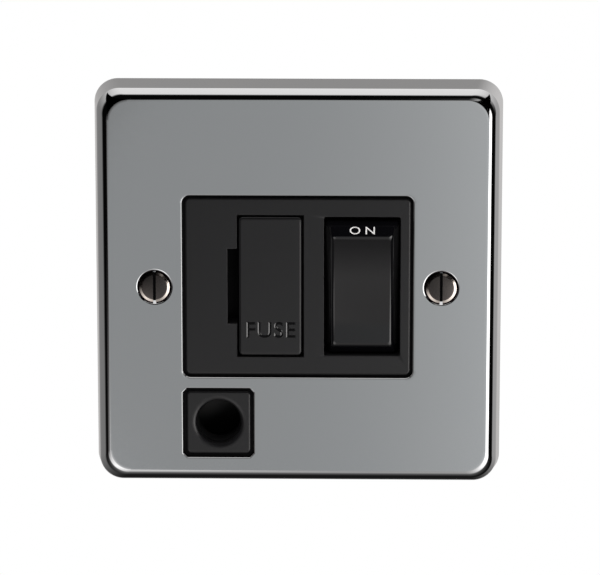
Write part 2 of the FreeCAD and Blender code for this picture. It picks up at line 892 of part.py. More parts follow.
# Plungers and springs: each plunger slides in a guide of the rocker and presses on its arm
def plunger_shape(x):
    radius = size_of("plunger_diameter / 2")
    reach = size_of("plunger_reach") - radius
    top = size_of("plunger_top")
    stem = Part.makeCylinder(radius, reach - top, VECTOR(x, top, 0), Y_AXIS)
    return stem.fuse(Part.makeSphere(radius, VECTOR(x, reach, 0))).removeSplitter()


def spring_shape(x):
    wire = size_of("spring_wire")
    start_y = size_of("rocker_hollow + rocker_wall - rocker_front") + wire / 2
    length = size_of("plunger_top") - start_y - wire / 2
    radius = size_of("spring_coil / 2")
    path = Part.makeHelix(length / size_of("spring_turns"), length, radius)
    ring_start = VECTOR(radius, 0, 0)
    section = Part.Wire([Part.makeCircle(wire / 2, ring_start, Y_AXIS)])
    coil = Part.Wire(path.Edges).makePipeShell([section], True, True)
    stand = FreeCAD.Matrix()
    stand.rotateX(math.radians(-90))
    stand.move(VECTOR(x, start_y, 0))
    return coil.transformGeometry(stand)


for pole, pole_x in (("live", "-pole_spacing / 2"), ("neutral", "pole_spacing / 2")):
    piece = feature(f"{pole}_plunger_turned", plunger_shape(size_of(pole_x)))
    node(f"{pole}_plunger", tilt(piece, "rocker_x", "pivot_y", "rocker_tilt"))
    piece = feature(f"{pole}_spring_wound", spring_shape(size_of(pole_x)))
    node(f"{pole}_spring", tilt(piece, "rocker_x", "pivot_y", "rocker_tilt"))


# See-saw contact arms: brass strips with a silver rivet, rocking on a round edge
def contact_arm(pole):
    body = body_of(pole + "_arm_body")
    sketch = sketch_on(body, pole + "_arm_side", "YZ_Plane")
    outline(
        sketch,
        [
            ("-arm_drop", "-arm_bottom"),
            ("arm_sheet - arm_drop", "-arm_bottom"),
            ("arm_sheet - arm_drop", "-arm_hub / 2"),
            ("0", "-arm_hub / 2"),
            ("0", "arm_hub / 2"),
            ("arm_sheet - arm_drop", "arm_hub / 2"),
            ("arm_sheet - arm_drop", "arm_top"),
            ("-arm_drop", "arm_top"),
        ],
    )
    pad(body, sketch, "arm_width", middle=True)
    saddle = sketch_on(body, pole + "_saddle", "YZ_Plane")
    ring(saddle, "0", "0", "knife_diameter + 2 * knife_fit")
    doc.recompute()
    groove = body.newObject("PartDesign::Pocket", pole + "_saddle_cut")
    groove.Profile = saddle
    groove.Midplane = True
    bind(groove, "Length", "2 * arm_width")
    doc.recompute()
    rivet = sketch_on(body, pole + "_rivet", "XZ_Plane", "-(arm_sheet - arm_drop)")
    ring(rivet, "0", "rivet_height", "rivet_diameter")
    pad(body, rivet, "rivet_head", backward=True)
    return node(pole + "_contact_arm", tilt(body, pole + "_x", "arm_y", "arm_tilt", -1))


contact_arm("live")
contact_arm("neutral")


# Bridges: each carries the round edge that an arm rocks on, and the load side's current
def bridge_post(pole, x):
    edge = rod(
        f"{pole}_edge",
        "knife_diameter",
        X_AXIS,
        f"{x} - strip_width / 2",
        y="arm_y",
        length="strip_width",
    )
    post = block(
        f"{pole}_post",
        (f"{x} - strip_width / 2", f"{x} + strip_width / 2"),
        ("arm_y", "bridge_y"),
        ("-knife_diameter / 2", "knife_diameter / 2"),
    )
    return edge, post


bridge_top = "arm_hub / 2"
load_low = "-(load_terminal_z + terminal_height / 2 - strip_sheet)"
neutral_strip = block(
    "neutral_strip",
    ("neutral_x - strip_width / 2", "neutral_x + strip_width / 2"),
    ("bridge_y", "bridge_back_y"),
    (load_low, bridge_top),
)
node("neutral_bridge", join("neutral_bridge_mass", neutral_strip, *bridge_post("neutral", "neutral_x")))
cross_low = "-clip_z - strip_width / 2"
cross_high = "-clip_z + strip_width / 2"
live_strip = block(
    "live_strip",
    ("live_x - strip_width / 2", "live_x + strip_width / 2"),
    ("bridge_y", "bridge_back_y"),
    (cross_low, bridge_top),
)
live_cross = block(
    "live_cross",
    ("carrier_x - clip_tail / 2", "live_x"),
    ("bridge_y", "bridge_back_y"),
    (cross_low, cross_high),
)
node("live_bridge", join("live_bridge_mass", live_strip, live_cross, *bridge_post("live", "live_x")))

# Fixed contacts: flat strips that run from the arm's rivet to the supply terminals
fixed_top = "terminal_z + terminal_height / 2 - strip_sheet"
for pole in ("live", "neutral"):
    middle = pole + "_x"
    strip = block(
        f"{pole}_fixed_strip",
        (f"{middle} - strip_width / 2", f"{middle} + strip_width / 2"),
        ("fixed_y", "fixed_back_y"),
        ("rivet_height - strip_width / 2", fixed_top),
    )
    button = rod(
        f"{pole}_button",
        "rivet_diameter",
        Y_AXIS,
        "pad_y",
        x=middle,
        z="rivet_height",
        length="contact_pad",
    )
    node(f"{pole}_fixed_contact", join(f"{pole}_fixed", strip, button))

# Terminals: brass blocks bored for the wire, each with a pinching screw from behind
TERMINALS = {
    "supply_live_terminal": ("live_x", "fixed_back_y", "terminal_back_y", "terminal_z"),
    "supply_neutral_terminal": ("neutral_x", "fixed_back_y", "terminal_back_y", "terminal_z"),
    "load_live_terminal": ("carrier_x", "fixed_back_y", "terminal_back_y", "terminal_z"),
    "load_neutral_terminal": ("neutral_x", "bridge_back_y", "terminal_back_y", "-load_terminal_z"),
    "earth_terminal": ("earth_x", "strap_y", "earth_back_y", "0"),
}
screws = []
for name, (x, front, back, z) in TERMINALS.items():
    low = f"{z} - terminal_height / 2"
    mass = block(
        name + "_block",
        (f"{x} - terminal_width / 2", f"{x} + terminal_width / 2"),
        (front, back),
        (low, f"{z} + terminal_height / 2"),
    )
    bore_y = f"{front} + terminal_bore_depth"
    bore = rod(name + "_bore", "terminal_bore", Z_AXIS, low, x=x, y=bore_y, length="terminal_height")
    thread = rod(
        name + "_thread",
        "terminal_screw + 2 * thread_fit",
        Y_AXIS,
        bore_y,
        x=x,
        z=z,
        length=f"({back}) - ({bore_y})",
    )
    node(name, cut(name + "_bored", mass, bore, thread))
    shank = rod(
        name + "_shank",
        "terminal_screw",
        Y_AXIS,
        bore_y,
        x=x,
        z=z,
        length=f"({back}) + terminal_screw_proud - ({bore_y})",
    )
    slot = block(
        name + "_slot",
        (f"{x} - terminal_screw", f"{x} + terminal_screw"),
        (f"{back} + terminal_screw_proud - screw_slot", f"{back} + terminal_screw_proud"),
        (f"{z} - screw_slot / 2", f"{z} + screw_slot / 2"),
    )
    screws.append(cut(name + "_screw", shank, slot))
terminal_screws = doc.addObject("Part::Compound", "pinching_screws")
terminal_screws.Links = screws
node("terminal_screws", terminal_screws)

# Flex outlet bush: a square front in the plate's opening, a flange behind it and a round tube
bush_panel = feature(
    "bush_panel",
    rounded_block(
        size_of("bush_side"),
        size_of("bush_side"),
        size_of("bush_corner"),
        size_of("bush_y"),
        size_of("sheet_y"),
        size_of("outlet_x"),
        size_of("outlet_z"),
    ),
)
bush_flange = block(
    "bush_flange_plate",
    ("outlet_x - bush_flange / 2", "outlet_x + bush_flange / 2"),
    ("sheet_y", "flange_y"),
    ("outlet_z - bush_flange / 2", "outlet_z + bush_flange / 2"),
)
bush_tube = rod(
    "bush_tube_round",
    "bush_tube",
    Y_AXIS,
    "sheet_y",
    x="outlet_x",
    z="outlet_z",
    length="-bush_back - sheet_y",
)
bush_bore = rod(
    "bush_bore_round",
    "bush_bore",
    Y_AXIS,
    "bush_y",
    x="outlet_x",
    z="outlet_z",
    length="-bush_back - bush_y",
)
bush_bevel = doc.addObject("Part::Cone", "bush_bevel_cone")
bind(bush_bevel, "Radius1", "bush_bore / 2 + bush_bevel")
bind(bush_bevel, "Radius2", "bush_bore / 2")
bind(bush_bevel, "Height", "bush_bevel")
bush_bevel.Placement.Rotation = FreeCAD.Rotation(Z_AXIS, Y_AXIS)
place(bush_bevel, "outlet_x", "bush_y", "outlet_z")
bush_mass = join("bush_mass", bush_panel, bush_flange, bush_tube)
node("outlet_bush", cut("bush", bush_mass, bush_bore, bush_bevel))

# Rear housing: a deep moulding with wells for the switch, the fuse and the terminals
base_block = block(
    "base_block", ("-base_side", "base_side"), ("strap_y", "base_back"), ("-base_end", "base_end")
)
apron = block(
    "apron",
    ("outlet_x - apron_side", "clamp_x + clamp_width / 2"),
    ("flange_y", "-apron_back"),
    ("-apron_bottom", "-strap_end - pocket_fit"),
)
apron_root = block(
    "apron_root",
    ("outlet_x - apron_side", "clamp_x + clamp_width / 2"),
    ("strap_y", "-apron_back"),
    ("-apron_bottom", "-base_end"),
)
# The elbow closes the outlet at the back and turns the flex towards the clamp
elbow = block(
    "elbow",
    ("outlet_x - bush_tube / 2 - elbow_wall", "outlet_x + bush_tube / 2"),
    ("-apron_back", "elbow_clear - apron_back + elbow_wall"),
    ("outlet_z - bush_tube / 2 - elbow_drop - elbow_wall", "-base_end"),
)
elbow_way = block(
    "elbow_way",
    ("outlet_x - bush_tube / 2", "outlet_x + bush_tube / 2"),
    ("-apron_back", "elbow_clear - apron_back"),
    ("outlet_z - bush_tube / 2 - elbow_drop", "outlet_z + bush_tube / 2"),
)
clamp_posts = []
clamp_bores = []
clamp_places = ("clamp_z - clamp_half_pitch", "clamp_z + clamp_half_pitch")
for number, z in enumerate(clamp_places):
    clamp_posts.append(
        rod(
            f"clamp_post_{number}",
            "clamp_post",
            Y_AXIS,
            "-apron_back",
            x="clamp_x",
            z=z,
            length="clamp_y + apron_back",
        )
    )
    clamp_bores.append(
        rod(
            f"clamp_bore_{number}",
            "clamp_screw + 2 * thread_fit",
            Y_AXIS,
            "clamp_y - clamp_screw_depth",
            x="clamp_x",
            z=z,
            length="clamp_screw_depth",
        )
    )
fuse_well = block(
    "fuse_well",
    (
        f"{carrier_left} - collar_wall - pocket_fit",
        f"{carrier_right} + collar_wall + pocket_fit",
    ),
    ("strap_y", "clip_floor"),
    (f"-({carrier_end} + collar_wall + pocket_fit)", f"{carrier_end} + collar_wall + pocket_fit"),
)
notch_well = block(
    "notch_well",
    (f"{notch_left} - collar_wall - pocket_fit", "carrier_x"),
    ("strap_y", "bezel_y + notch_depth + collar_wall + pocket_fit"),
    ("-(notch_height / 2 + collar_wall + pocket_fit)", "notch_height / 2 + collar_wall + pocket_fit"),
)
rocker_well = block(
    "rocker_well",
    (
        "rocker_x - recess_side - collar_wall - pocket_fit",
        "rocker_x + recess_side + collar_wall + pocket_fit",
    ),
    ("strap_y", "collar_floor"),
    ("-(recess_end + collar_wall + pocket_fit)", "recess_end + collar_wall + pocket_fit"),
)
pole_wells = []
for side, near, far in (
    ("live", "rocker_x - well_side", "rocker_x - well_web / 2"),
    ("neutral", "rocker_x + well_web / 2", "rocker_x + well_side"),
):
    pole_wells.append(
        block(f"{side}_well", (near, far), ("collar_floor", "bridge_back_y"), ("-well_end", "well_end"))
    )
channels = []
for pole in ("live", "neutral"):
    channels.append(
        block(
            f"{pole}_fixed_channel",
            (f"{pole}_x - strip_width / 2", f"{pole}_x + strip_width / 2"),
            ("fixed_y", "fixed_back_y"),
            ("0", fixed_top),
        )
    )
channels.append(
    block(
        "upper_tail_channel",
        ("carrier_x - clip_tail / 2", "carrier_x + clip_tail / 2"),
        ("fixed_y", "fixed_back_y"),
        (upper_low, upper_high),
    )
)
for level, low in (("upper", upper_low), ("lower", lower_low)):
    channels.append(
        block(
            f"{level}_tail_slot",
            ("carrier_x - clip_tail / 2", "carrier_x + clip_tail / 2"),
            ("clip_floor", "bridge_y"),
            (low, f"{low} + strip_sheet"),
        )
    )
channels.append(
    block(
        "live_cross_channel",
        ("carrier_x - clip_tail / 2", "live_x + strip_width / 2"),
        ("bridge_y", "base_back"),
        (cross_low, cross_high),
    )
)
channels.append(
    block(
        "neutral_channel",
        ("neutral_x - strip_width / 2", "neutral_x + strip_width / 2"),
        ("bridge_y", "bridge_back_y"),
        (load_low, "0"),
    )
)
terminal_wells = []
for name in ("supply_live", "supply_neutral", "load_live", "load_neutral"):
    x, front, back, z = TERMINALS[name + "_terminal"]
    low, high = f"{z} - terminal_height / 2", f"{z} + terminal_height / 2"
    terminal_wells.append(
        block(
            name + "_well",
            (f"{x} - terminal_width / 2", f"{x} + terminal_width / 2"),
            (front, "base_back"),
            (low, high),
        )
    )
    wall_low, wall_high = ("-base_end", low) if name == "load_neutral" else (high, "base_end")
    terminal_wells.append(
        rod(
            name + "_wire_way",
            "terminal_bore + pocket_fit",
            Z_AXIS,
            wall_low,
            x=x,
            y=f"{front} + terminal_bore_depth",
            length=f"({wall_high}) - ({wall_low})",
        )
    )
earth_well = block(
    "earth_well",
    ("-base_side", "earth_x + terminal_width / 2"),
    ("strap_y", "base_back"),
    ("-earth_recess / 2", "earth_recess / 2"),
)
bush_way = rod(
    "bush_way",
    "bush_tube + pocket_fit",
    Y_AXIS,
    "flange_y",
    x="outlet_x",
    z="outlet_z",
    length="-apron_back - flange_y",
)
screw_ways = []
for number, (side, up) in enumerate(SCREW_CORNERS):
    for part, diameter, front, back in (
        ("shank", "housing_screw + pocket_fit", "strap_y", "base_back"),
        ("head", "housing_screw_head + pocket_fit", "base_back - housing_screw_seat", "base_back"),
    ):
        screw_ways.append(
            rod(
                f"housing_{part}_way_{number}",
                diameter,
                Y_AXIS,
                front,
                x=f"{side}housing_screw_x",
                z=f"{up}housing_screw_z",
                length=f"({back}) - ({front})",
            )
        )
base_mass = join("base_mass", base_block, apron, apron_root, elbow, *clamp_posts)
base_cuts = [fuse_well, notch_well, rocker_well, *pole_wells, *channels, *terminal_wells]
base_cuts += [earth_well, bush_way, elbow_way, *screw_ways, *clamp_bores]
node("base_moulding", cut("base", base_mass, *base_cuts))


# Small screws: slotted pan heads, facing the rear
def pan_screw(name, x, z, seat, shank_front, diameter, head):
    shank_length = f"({seat}) - ({shank_front})"
    shank = rod(name + "_shank", diameter, Y_AXIS, shank_front, x=x, z=z, length=shank_length)
    cap = rod(name + "_head", head, Y_AXIS, seat, x=x, z=z, length="screw_head_height")
    slot = block(
        name + "_slot",
        (f"{x} - ({head})", f"{x} + {head}"),
        (f"{seat} + screw_head_height - screw_slot", f"{seat} + screw_head_height"),
        (f"{z} - screw_slot / 2", f"{z} + screw_slot / 2"),
    )
    return cut(name, join(name + "_mass", shank, cap), slot)


housing_screws = doc.addObject("Part::Compound", "housing_screw_set")
housing_screws.Links = [
    pan_screw(
        f"housing_screw_{number}",
        f"{side}housing_screw_x",
        f"{up}housing_screw_z",
        "base_back - housing_screw_seat",
        "flange_y",
        "housing_screw",
        "housing_screw_head",
    )
    for number, (side, up) in enumerate(SCREW_CORNERS)
]
node("housing_screws", housing_screws)

# Cord clamp: a bar across two posts beside the outlet, held by two screws
bar = block(
    "clamp_bar_block",
    ("clamp_x - clamp_width / 2", "clamp_x + clamp_width / 2"),
    ("clamp_y", "clamp_back_y"),
    (
        "clamp_z - clamp_half_pitch - clamp_end",
        "clamp_z + clamp_half_pitch + clamp_end",
    ),
)
bar_holes = [
    rod(
        f"bar_hole_{number}",
        "clamp_screw + pocket_fit",
        Y_AXIS,
        "clamp_y",
        x="clamp_x",
        z=z,
        length="clamp_bar",
    )
    for number, z in enumerate(clamp_places)
]
node("cord_clamp_bar", cut("clamp", bar, *bar_holes))
clamp_screws = doc.addObject("Part::Compound", "clamp_screw_set")
clamp_screws.Links = [
    pan_screw(
        f"clamp_screw_{number}",
        "clamp_x",
        z,
        "clamp_back_y",
        "clamp_y - clamp_screw_depth",
        "clamp_screw",
        "clamp_screw_head",
    )
    for number, z in enumerate(clamp_places)
]
node("cord_clamp_screws", clamp_screws)

doc.recompute()
failed = [item.Name for item in doc.Objects if {"Invalid", "Error"} & set(item.State)]
if failed:
    raise RuntimeError("objects that failed: " + ", ".join(failed))
for item in NODES:
    if item.Shape.isNull() or not item.Shape.isValid() or not item.Shape.Solids:
        raise RuntimeError("no valid shape: " + item.Label)

os.makedirs("parts", exist_ok=True)
for item in NODES:
    item.Shape.exportStep(f"parts/{item.Label}.step")
    box = item.Shape.BoundBox
    corners = f"{box.XMin:.2f} {box.YMin:.2f} {box.ZMin:.2f} to {box.XMax:.2f} {box.YMax:.2f} {box.ZMax:.2f}"
    print(item.Label, len(item.Shape.Solids), "solids", round(item.Shape.Volume, 1), "mm3", corners)
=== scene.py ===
import math

import bmesh
import bpy
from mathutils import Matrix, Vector


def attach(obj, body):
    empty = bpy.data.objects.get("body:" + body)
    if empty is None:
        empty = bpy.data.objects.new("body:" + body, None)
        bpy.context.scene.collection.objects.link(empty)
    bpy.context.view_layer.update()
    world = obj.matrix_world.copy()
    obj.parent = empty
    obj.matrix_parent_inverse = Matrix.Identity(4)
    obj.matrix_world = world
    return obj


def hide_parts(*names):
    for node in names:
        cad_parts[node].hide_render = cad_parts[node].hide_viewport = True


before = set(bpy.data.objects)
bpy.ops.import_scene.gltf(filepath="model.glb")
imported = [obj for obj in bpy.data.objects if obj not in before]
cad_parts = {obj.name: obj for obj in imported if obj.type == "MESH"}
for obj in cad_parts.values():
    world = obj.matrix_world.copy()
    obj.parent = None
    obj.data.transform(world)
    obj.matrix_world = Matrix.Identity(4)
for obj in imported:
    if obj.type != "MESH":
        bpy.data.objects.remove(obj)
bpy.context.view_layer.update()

MM = 0.001

# Front plate
# One pressing of thin sheet, rolled over at its edges and plated in polished black nickel.
# Its rim sits on the wall, and its openings and dimpled holes take the inserts and screws.
PLATE_HALF = 43.0 * MM
PLATE_DEPTH = 8.8 * MM
SHEET = 1.2 * MM
RIM_CORNER = 5.0 * MM
FACE_CORNER = 4.4 * MM
DRAFT = 0.85 * MM
ROLL = 2.4 * MM
ROLL_DEPTH = 2.2 * MM
ROLL_STEPS = 28
CORNER_STEPS = 20
EDGE_SOFTNESS = 0.24 * MM
FLAT_STRIP = 0.5 * MM
FACE_Y = -PLATE_DEPTH
SHEET_Y = FACE_Y + SHEET
WINDOW = (24.25 * MM, 19.5 * MM)
WINDOW_CORNER = 1.6 * MM
OUTLET = Vector((-16.8 * MM, -29.45 * MM))
OUTLET_HALF = 7.5 * MM
OUTLET_CUT = 0.9 * MM
FIXING_X = 30.15 * MM
SEAT_RADIUS = 3.65 * MM
SEAT_ROUND = 0.045 * MM
SEAT_STRIP = 0.22 * MM
HOLE_RADIUS = 2.0 * MM
CUP_RADIUS = 2.6 * MM
CUP_MOUTH = 3.05 * MM
SEAT_LIP = ((1.0, 0.0), (1 / 3, 1 / 4), (-1.0, 1.0))
ROUND_STEPS = 96
CURVE_STEPS = 8
WINDOW_STEPS = 10
SOFT_STEPS = 6
QUARTER_TURN = math.radians(90)
MITRE_LIMIT = 0.2
WELD_DISTANCE = 0.002 * MM
SMOOTH_ANGLE = 30.0
PLATE_SMOOTH_ANGLE = 25.0
FACE_WEIGHT = 100
MOTTLE_DETAIL = 3.0
GRAIN_DETAIL = 6.0
GRAIN_SCALE = 900.0
GRAIN_HEIGHT = 0.02 * MM
COLOUR_INPUTS = (6, 7)
COLOUR_OUTPUT = 2


def rounded_rectangle(half_width, half_height, radius, steps=CURVE_STEPS, centre=(0.0, 0.0)):
    """The outline of a rectangle with round corners, as points across and up."""
    points = []
    for corner, (side, up) in enumerate(((1, 1), (-1, 1), (-1, -1), (1, -1))):
        for step in range(steps + 1):
            angle = QUARTER_TURN * (corner + step / steps)
            across = side * (half_width - radius) + radius * math.cos(angle)
            height = up * (half_height - radius) + radius * math.sin(angle)
            points.append((centre[0] + across, centre[1] + height))
    return points


def circle(radius, steps=ROUND_STEPS, centre=(0.0, 0.0)):
    """The outline of a circle."""
    turns = [2 * math.pi * step / steps for step in range(steps)]
    return [(centre[0] + radius * math.cos(a), centre[1] + radius * math.sin(a)) for a in turns]


def grown(points, amount):
    """The same outline moved outward by an amount, with mitred corners."""
    result = []
    count = len(points)
    for index, point in enumerate(points):
        here = Vector(point)
        before = (here - Vector(points[index - 1])).normalized()
        after = (Vector(points[(index + 1) % count]) - here).normalized()
        out_before = Vector((before.y, -before.x))
        out_after = Vector((after.y, -after.x))
        middle = (out_before + out_after).normalized()
        mitre = max(middle.dot(out_before), MITRE_LIMIT)
        result.append(tuple(here + middle * (amount / mitre)))
    return result


def filled(outer, holes):
    """The triangles of a flat region with holes, in plan."""
    curve = bpy.data.curves.new("fill", "CURVE")
    curve.dimensions = "2D"
    curve.fill_mode = "BOTH"
    for points in [outer, *holes]:
        spline = curve.splines.new("POLY")
        spline.points.add(len(points) - 1)
        for target, (across, up) in zip(spline.points, points):
            target.co = (across / MM, up / MM, 0, 1)
        spline.use_cyclic_u = True
    holder = bpy.data.objects.new("fill", curve)
    mesh = bpy.data.meshes.new_from_object(holder)
    corners = [(v.co.x * MM, v.co.y * MM) for v in mesh.vertices]
    faces = [tuple(p.vertices) for p in mesh.polygons]
    bpy.data.objects.remove(holder)
    bpy.data.meshes.remove(mesh)
    bpy.data.curves.remove(curve)
    return corners, faces


def facing_front(across, up, depth):
    """Where a point of a front view lies."""
    return (across, depth, up)


def soft_edge(points, front, softness, inward, flatness=1.0):
    """Rings of a quarter oval that lead from a front face into its wall."""
    if not softness:
        return [(points, front)]
    rings = []
    for step in range(SOFT_STEPS + 1):
        angle = QUARTER_TURN * step / SOFT_STEPS
        back_off = softness * (1 - math.sin(angle))
        depth = front + softness * flatness * (1 - math.cos(angle))
        rings.append((grown(points, -back_off if inward else back_off), depth))
    return rings


def shade(form, smooth_angle):
    """Shade a form smooth, but for the edges that turn by more than an angle."""
    limit = math.radians(smooth_angle)
    for edge in form.edges:
        edge.smooth = len(edge.link_faces) == 2 and edge.calc_face_angle(0.0) < limit
    for face in form.faces:
        face.smooth = True


class Shell:
    """A mesh put together from flat regions and bands of skin, then welded."""

    def __init__(self, to_space=facing_front):
        self.form = bmesh.new()
        self.to_space = to_space

    def region(self, outer, holes, depth):
        """A flat face with holes."""
        corners, faces = filled(outer, holes)
        spots = [self.form.verts.new(self.to_space(a, u, depth)) for a, u in corners]
        for face in faces:
            self.form.faces.new([spots[i] for i in face])

    def join(self, rows):
        """Skin between closed rows of points."""
        for near, far in zip(rows, rows[1:]):
            for i in range(len(near)):
                j = (i + 1) % len(near)
                self.form.faces.new((near[i], near[j], far[j], far[i]))

    def band(self, rings):
        """Skin between rings, each an outline and its depth."""
        rows = []
        for ring, depth in rings:
            rows.append([self.form.verts.new(self.to_space(a, u, depth)) for a, u in ring])
        self.join(rows)

    def slab(self, outer, holes, front, back, softness=0.0, hole_softness=0.0, flatness=1.0):
        """A plate with holes, its front edges softened."""
        shrunk = grown(outer, -softness) if softness else outer
        widened = [grown(hole, hole_softness) if hole_softness else hole for hole in holes]
        self.region(shrunk, widened, front)
        self.region(outer, holes, back)
        self.band(soft_edge(outer, front, softness, True, flatness=flatness) + [(outer, back)])
        for hole in holes:
            self.band(soft_edge(hole, front, hole_softness, False) + [(hole, back)])

    def mesh(self, name, smooth_angle=SMOOTH_ANGLE):
        """Weld the pieces, turn the faces outward and shade the soft edges smooth."""
        bmesh.ops.remove_doubles(self.form, verts=self.form.verts, dist=WELD_DISTANCE)
        bmesh.ops.recalc_face_normals(self.form, faces=self.form.faces)
        shade(self.form, smooth_angle)
        mesh = bpy.data.meshes.new(name)
        self.form.to_mesh(mesh)
        self.form.free()
        return mesh


def piece(name, mesh, material, body, slot, *replaced):
    """Add one finished piece of the unit to the scene."""
    thing = bpy.data.objects.new(name, mesh)
    bpy.context.collection.objects.link(thing)
    mesh.materials.clear()
    mesh.materials.append(material)
    normals = thing.modifiers.new("even shading", "WEIGHTED_NORMAL")
    normals.keep_sharp = True
    normals.weight = FACE_WEIGHT
    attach(thing, body)
    if replaced:
        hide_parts(*replaced)


def feed(target, value):
    """Link a socket to an input of the same tree, or set the input to a value."""
    if hasattr(value, "links"):
        target.id_data.links.new(value, target)
    else:
        target.default_value = value


def mixed_colour(tree, share, first, second):
    """One colour or the other, by a share."""
    made = tree.nodes.new("ShaderNodeMix")
    made.data_type = "RGBA"
    feed(made.inputs[0], share)
    for place, colour in zip(COLOUR_INPUTS, (first, second)):
        feed(made.inputs[place], colour)
    return made.outputs[COLOUR_OUTPUT]


def surface_variation():
    """Fine variation that every finish uses: a colour mottle, a grain of roughness and a height."""
    group = bpy.data.node_groups.new("surface variation", "ShaderNodeTree")
    sockets = group.interface
    for name in ("Mottle Scale", "Grain Scale", "Least Roughness", "Most Roughness"):
        sockets.new_socket(name, in_out="INPUT", socket_type="NodeSocketFloat")
    for name in ("Dark", "Light"):
        sockets.new_socket(name, in_out="INPUT", socket_type="NodeSocketColor")
    sockets.new_socket("Color", in_out="OUTPUT", socket_type="NodeSocketColor")
    for name in ("Roughness", "Height"):
        sockets.new_socket(name, in_out="OUTPUT", socket_type="NodeSocketFloat")
    nodes, links = group.nodes, group.links
    given = nodes.new("NodeGroupInput")
    result = nodes.new("NodeGroupOutput")
    place = nodes.new("ShaderNodeTexCoord")
    mottle = nodes.new("ShaderNodeTexNoise")
    mottle.inputs["Detail"].default_value = MOTTLE_DETAIL
    grain = nodes.new("ShaderNodeTexNoise")
    grain.inputs["Detail"].default_value = GRAIN_DETAIL
    for texture, scale in ((mottle, "Mottle Scale"), (grain, "Grain Scale")):
        links.new(place.outputs["Object"], texture.inputs["Vector"])
        links.new(given.outputs[scale], texture.inputs["Scale"])
    tint = mixed_colour(group, mottle.outputs["Fac"], given.outputs["Dark"], given.outputs["Light"])
    links.new(tint, result.inputs["Color"])
    spread = nodes.new("ShaderNodeMapRange")
    links.new(grain.outputs["Fac"], spread.inputs["Value"])
    links.new(given.outputs["Least Roughness"], spread.inputs["To Min"])
    links.new(given.outputs["Most Roughness"], spread.inputs["To Max"])
    links.new(spread.outputs["Result"], result.inputs["Roughness"])
    links.new(grain.outputs["Fac"], result.inputs["Height"])
    return group


VARIATION = surface_variation()


def finish(name, dark, light, roughness, mottle, grain=GRAIN_SCALE, relief=0.0, **constants):
    """A finish with its two shades, its range of roughness and the relief of its grain."""
    material = bpy.data.materials.new(name)
    material.use_nodes = True
    tree = material.node_tree
    shader = tree.nodes["Principled BSDF"]
    for socket, value in constants.items():
        shader.inputs[socket.replace("_", " ")].default_value = value
    varied = tree.nodes.new("ShaderNodeGroup")
    varied.node_tree = VARIATION
    varied.inputs["Dark"].default_value = (*dark, 1.0)
    varied.inputs["Light"].default_value = (*light, 1.0)
    varied.inputs["Least Roughness"].default_value = roughness[0]
    varied.inputs["Most Roughness"].default_value = roughness[1]
    varied.inputs["Mottle Scale"].default_value = mottle
    varied.inputs["Grain Scale"].default_value = grain
    tree.links.new(varied.outputs["Color"], shader.inputs["Base Color"])
    tree.links.new(varied.outputs["Roughness"], shader.inputs["Roughness"])
    if relief:
        bump = tree.nodes.new("ShaderNodeBump")
        bump.inputs["Strength"].default_value = relief
        bump.inputs["Distance"].default_value = GRAIN_HEIGHT
        tree.links.new(varied.outputs["Height"], bump.inputs["Height"])
        tree.links.new(bump.outputs["Normal"], shader.inputs["Normal"])
    return material


black_nickel = finish(
    "black nickel",
    dark=(0.266, 0.274, 0.280),
    light=(0.284, 0.286, 0.287),
    roughness=(0.03, 0.07),
    mottle=25.0,
    Metallic=1.0,
)

window_outline = rounded_rectangle(*WINDOW, WINDOW_CORNER, WINDOW_STEPS)
outlet_short = OUTLET_HALF - OUTLET_CUT
outlet_corners = [
    (OUTLET_HALF, outlet_short),
    (outlet_short, OUTLET_HALF),
    (-outlet_short, OUTLET_HALF),
    (-OUTLET_HALF, outlet_short),
    (-OUTLET_HALF, -outlet_short),
    (-outlet_short, -OUTLET_HALF),
    (outlet_short, -OUTLET_HALF),
    (OUTLET_HALF, -outlet_short),
]
outlet_outline = [(OUTLET.x + across, OUTLET.y + up) for across, up in outlet_corners]


def plate_rings(inset):
    """Rings up the drafted side and over the roll, inset by the sheet's thickness."""
    half = PLATE_HALF - inset
    rings = [(rounded_rectangle(half, half, RIM_CORNER - inset, CORNER_STEPS), 0.0)]
    for step in range(ROLL_STEPS + 1):
        angle = QUARTER_TURN * step / ROLL_STEPS
        share = 1 - math.cos(angle)
        reach = half - DRAFT - (ROLL - inset) * share
        radius = RIM_CORNER - inset * (1 - share) + (FACE_CORNER - RIM_CORNER) * share
        depth = ROLL_DEPTH - PLATE_DEPTH - (ROLL_DEPTH - inset) * math.sin(angle)
        rings.append((rounded_rectangle(reach, reach, radius, CORNER_STEPS), depth))
    return rings


def screw_circles(radius):
    """One circle round each of the two fixing screws."""
    return [circle(radius, centre=(side * FIXING_X, 0.0)) for side in (-1, 1)]


plate = Shell()
outside = plate_rings(0.0)
inside = plate_rings(SHEET)
plate.band(outside)
plate.band(inside)
plate.band([outside[0], inside[0]])
cup_y = FACE_Y + SEAT_RADIUS - HOLE_RADIUS
seats = screw_circles(SEAT_RADIUS)
cups = screw_circles(CUP_MOUTH)
openings = [window_outline, outlet_outline]
seat_rims = screw_circles(SEAT_RADIUS + SEAT_ROUND)
opening_rims = [grown(opening, EDGE_SOFTNESS) for opening in openings]
rims = opening_rims + seat_rims
borders = [grown(rim, FLAT_STRIP) for rim in opening_rims]
borders += [grown(rim, SEAT_STRIP) for rim in seat_rims]
face_border = grown(outside[-1][0], -FLAT_STRIP)
plate.band([(outside[-1][0], FACE_Y), (face_border, FACE_Y)])
plate.region(face_border, borders, FACE_Y)
for rim, border in zip(rims, borders):
    plate.band([(rim, FACE_Y), (border, FACE_Y)])
plate.region(inside[-1][0], openings + cups, SHEET_Y)
for opening in openings:
    plate.band(soft_edge(opening, FACE_Y, EDGE_SOFTNESS, False) + [(opening, SHEET_Y)])
cup_ends = screw_circles(CUP_RADIUS)
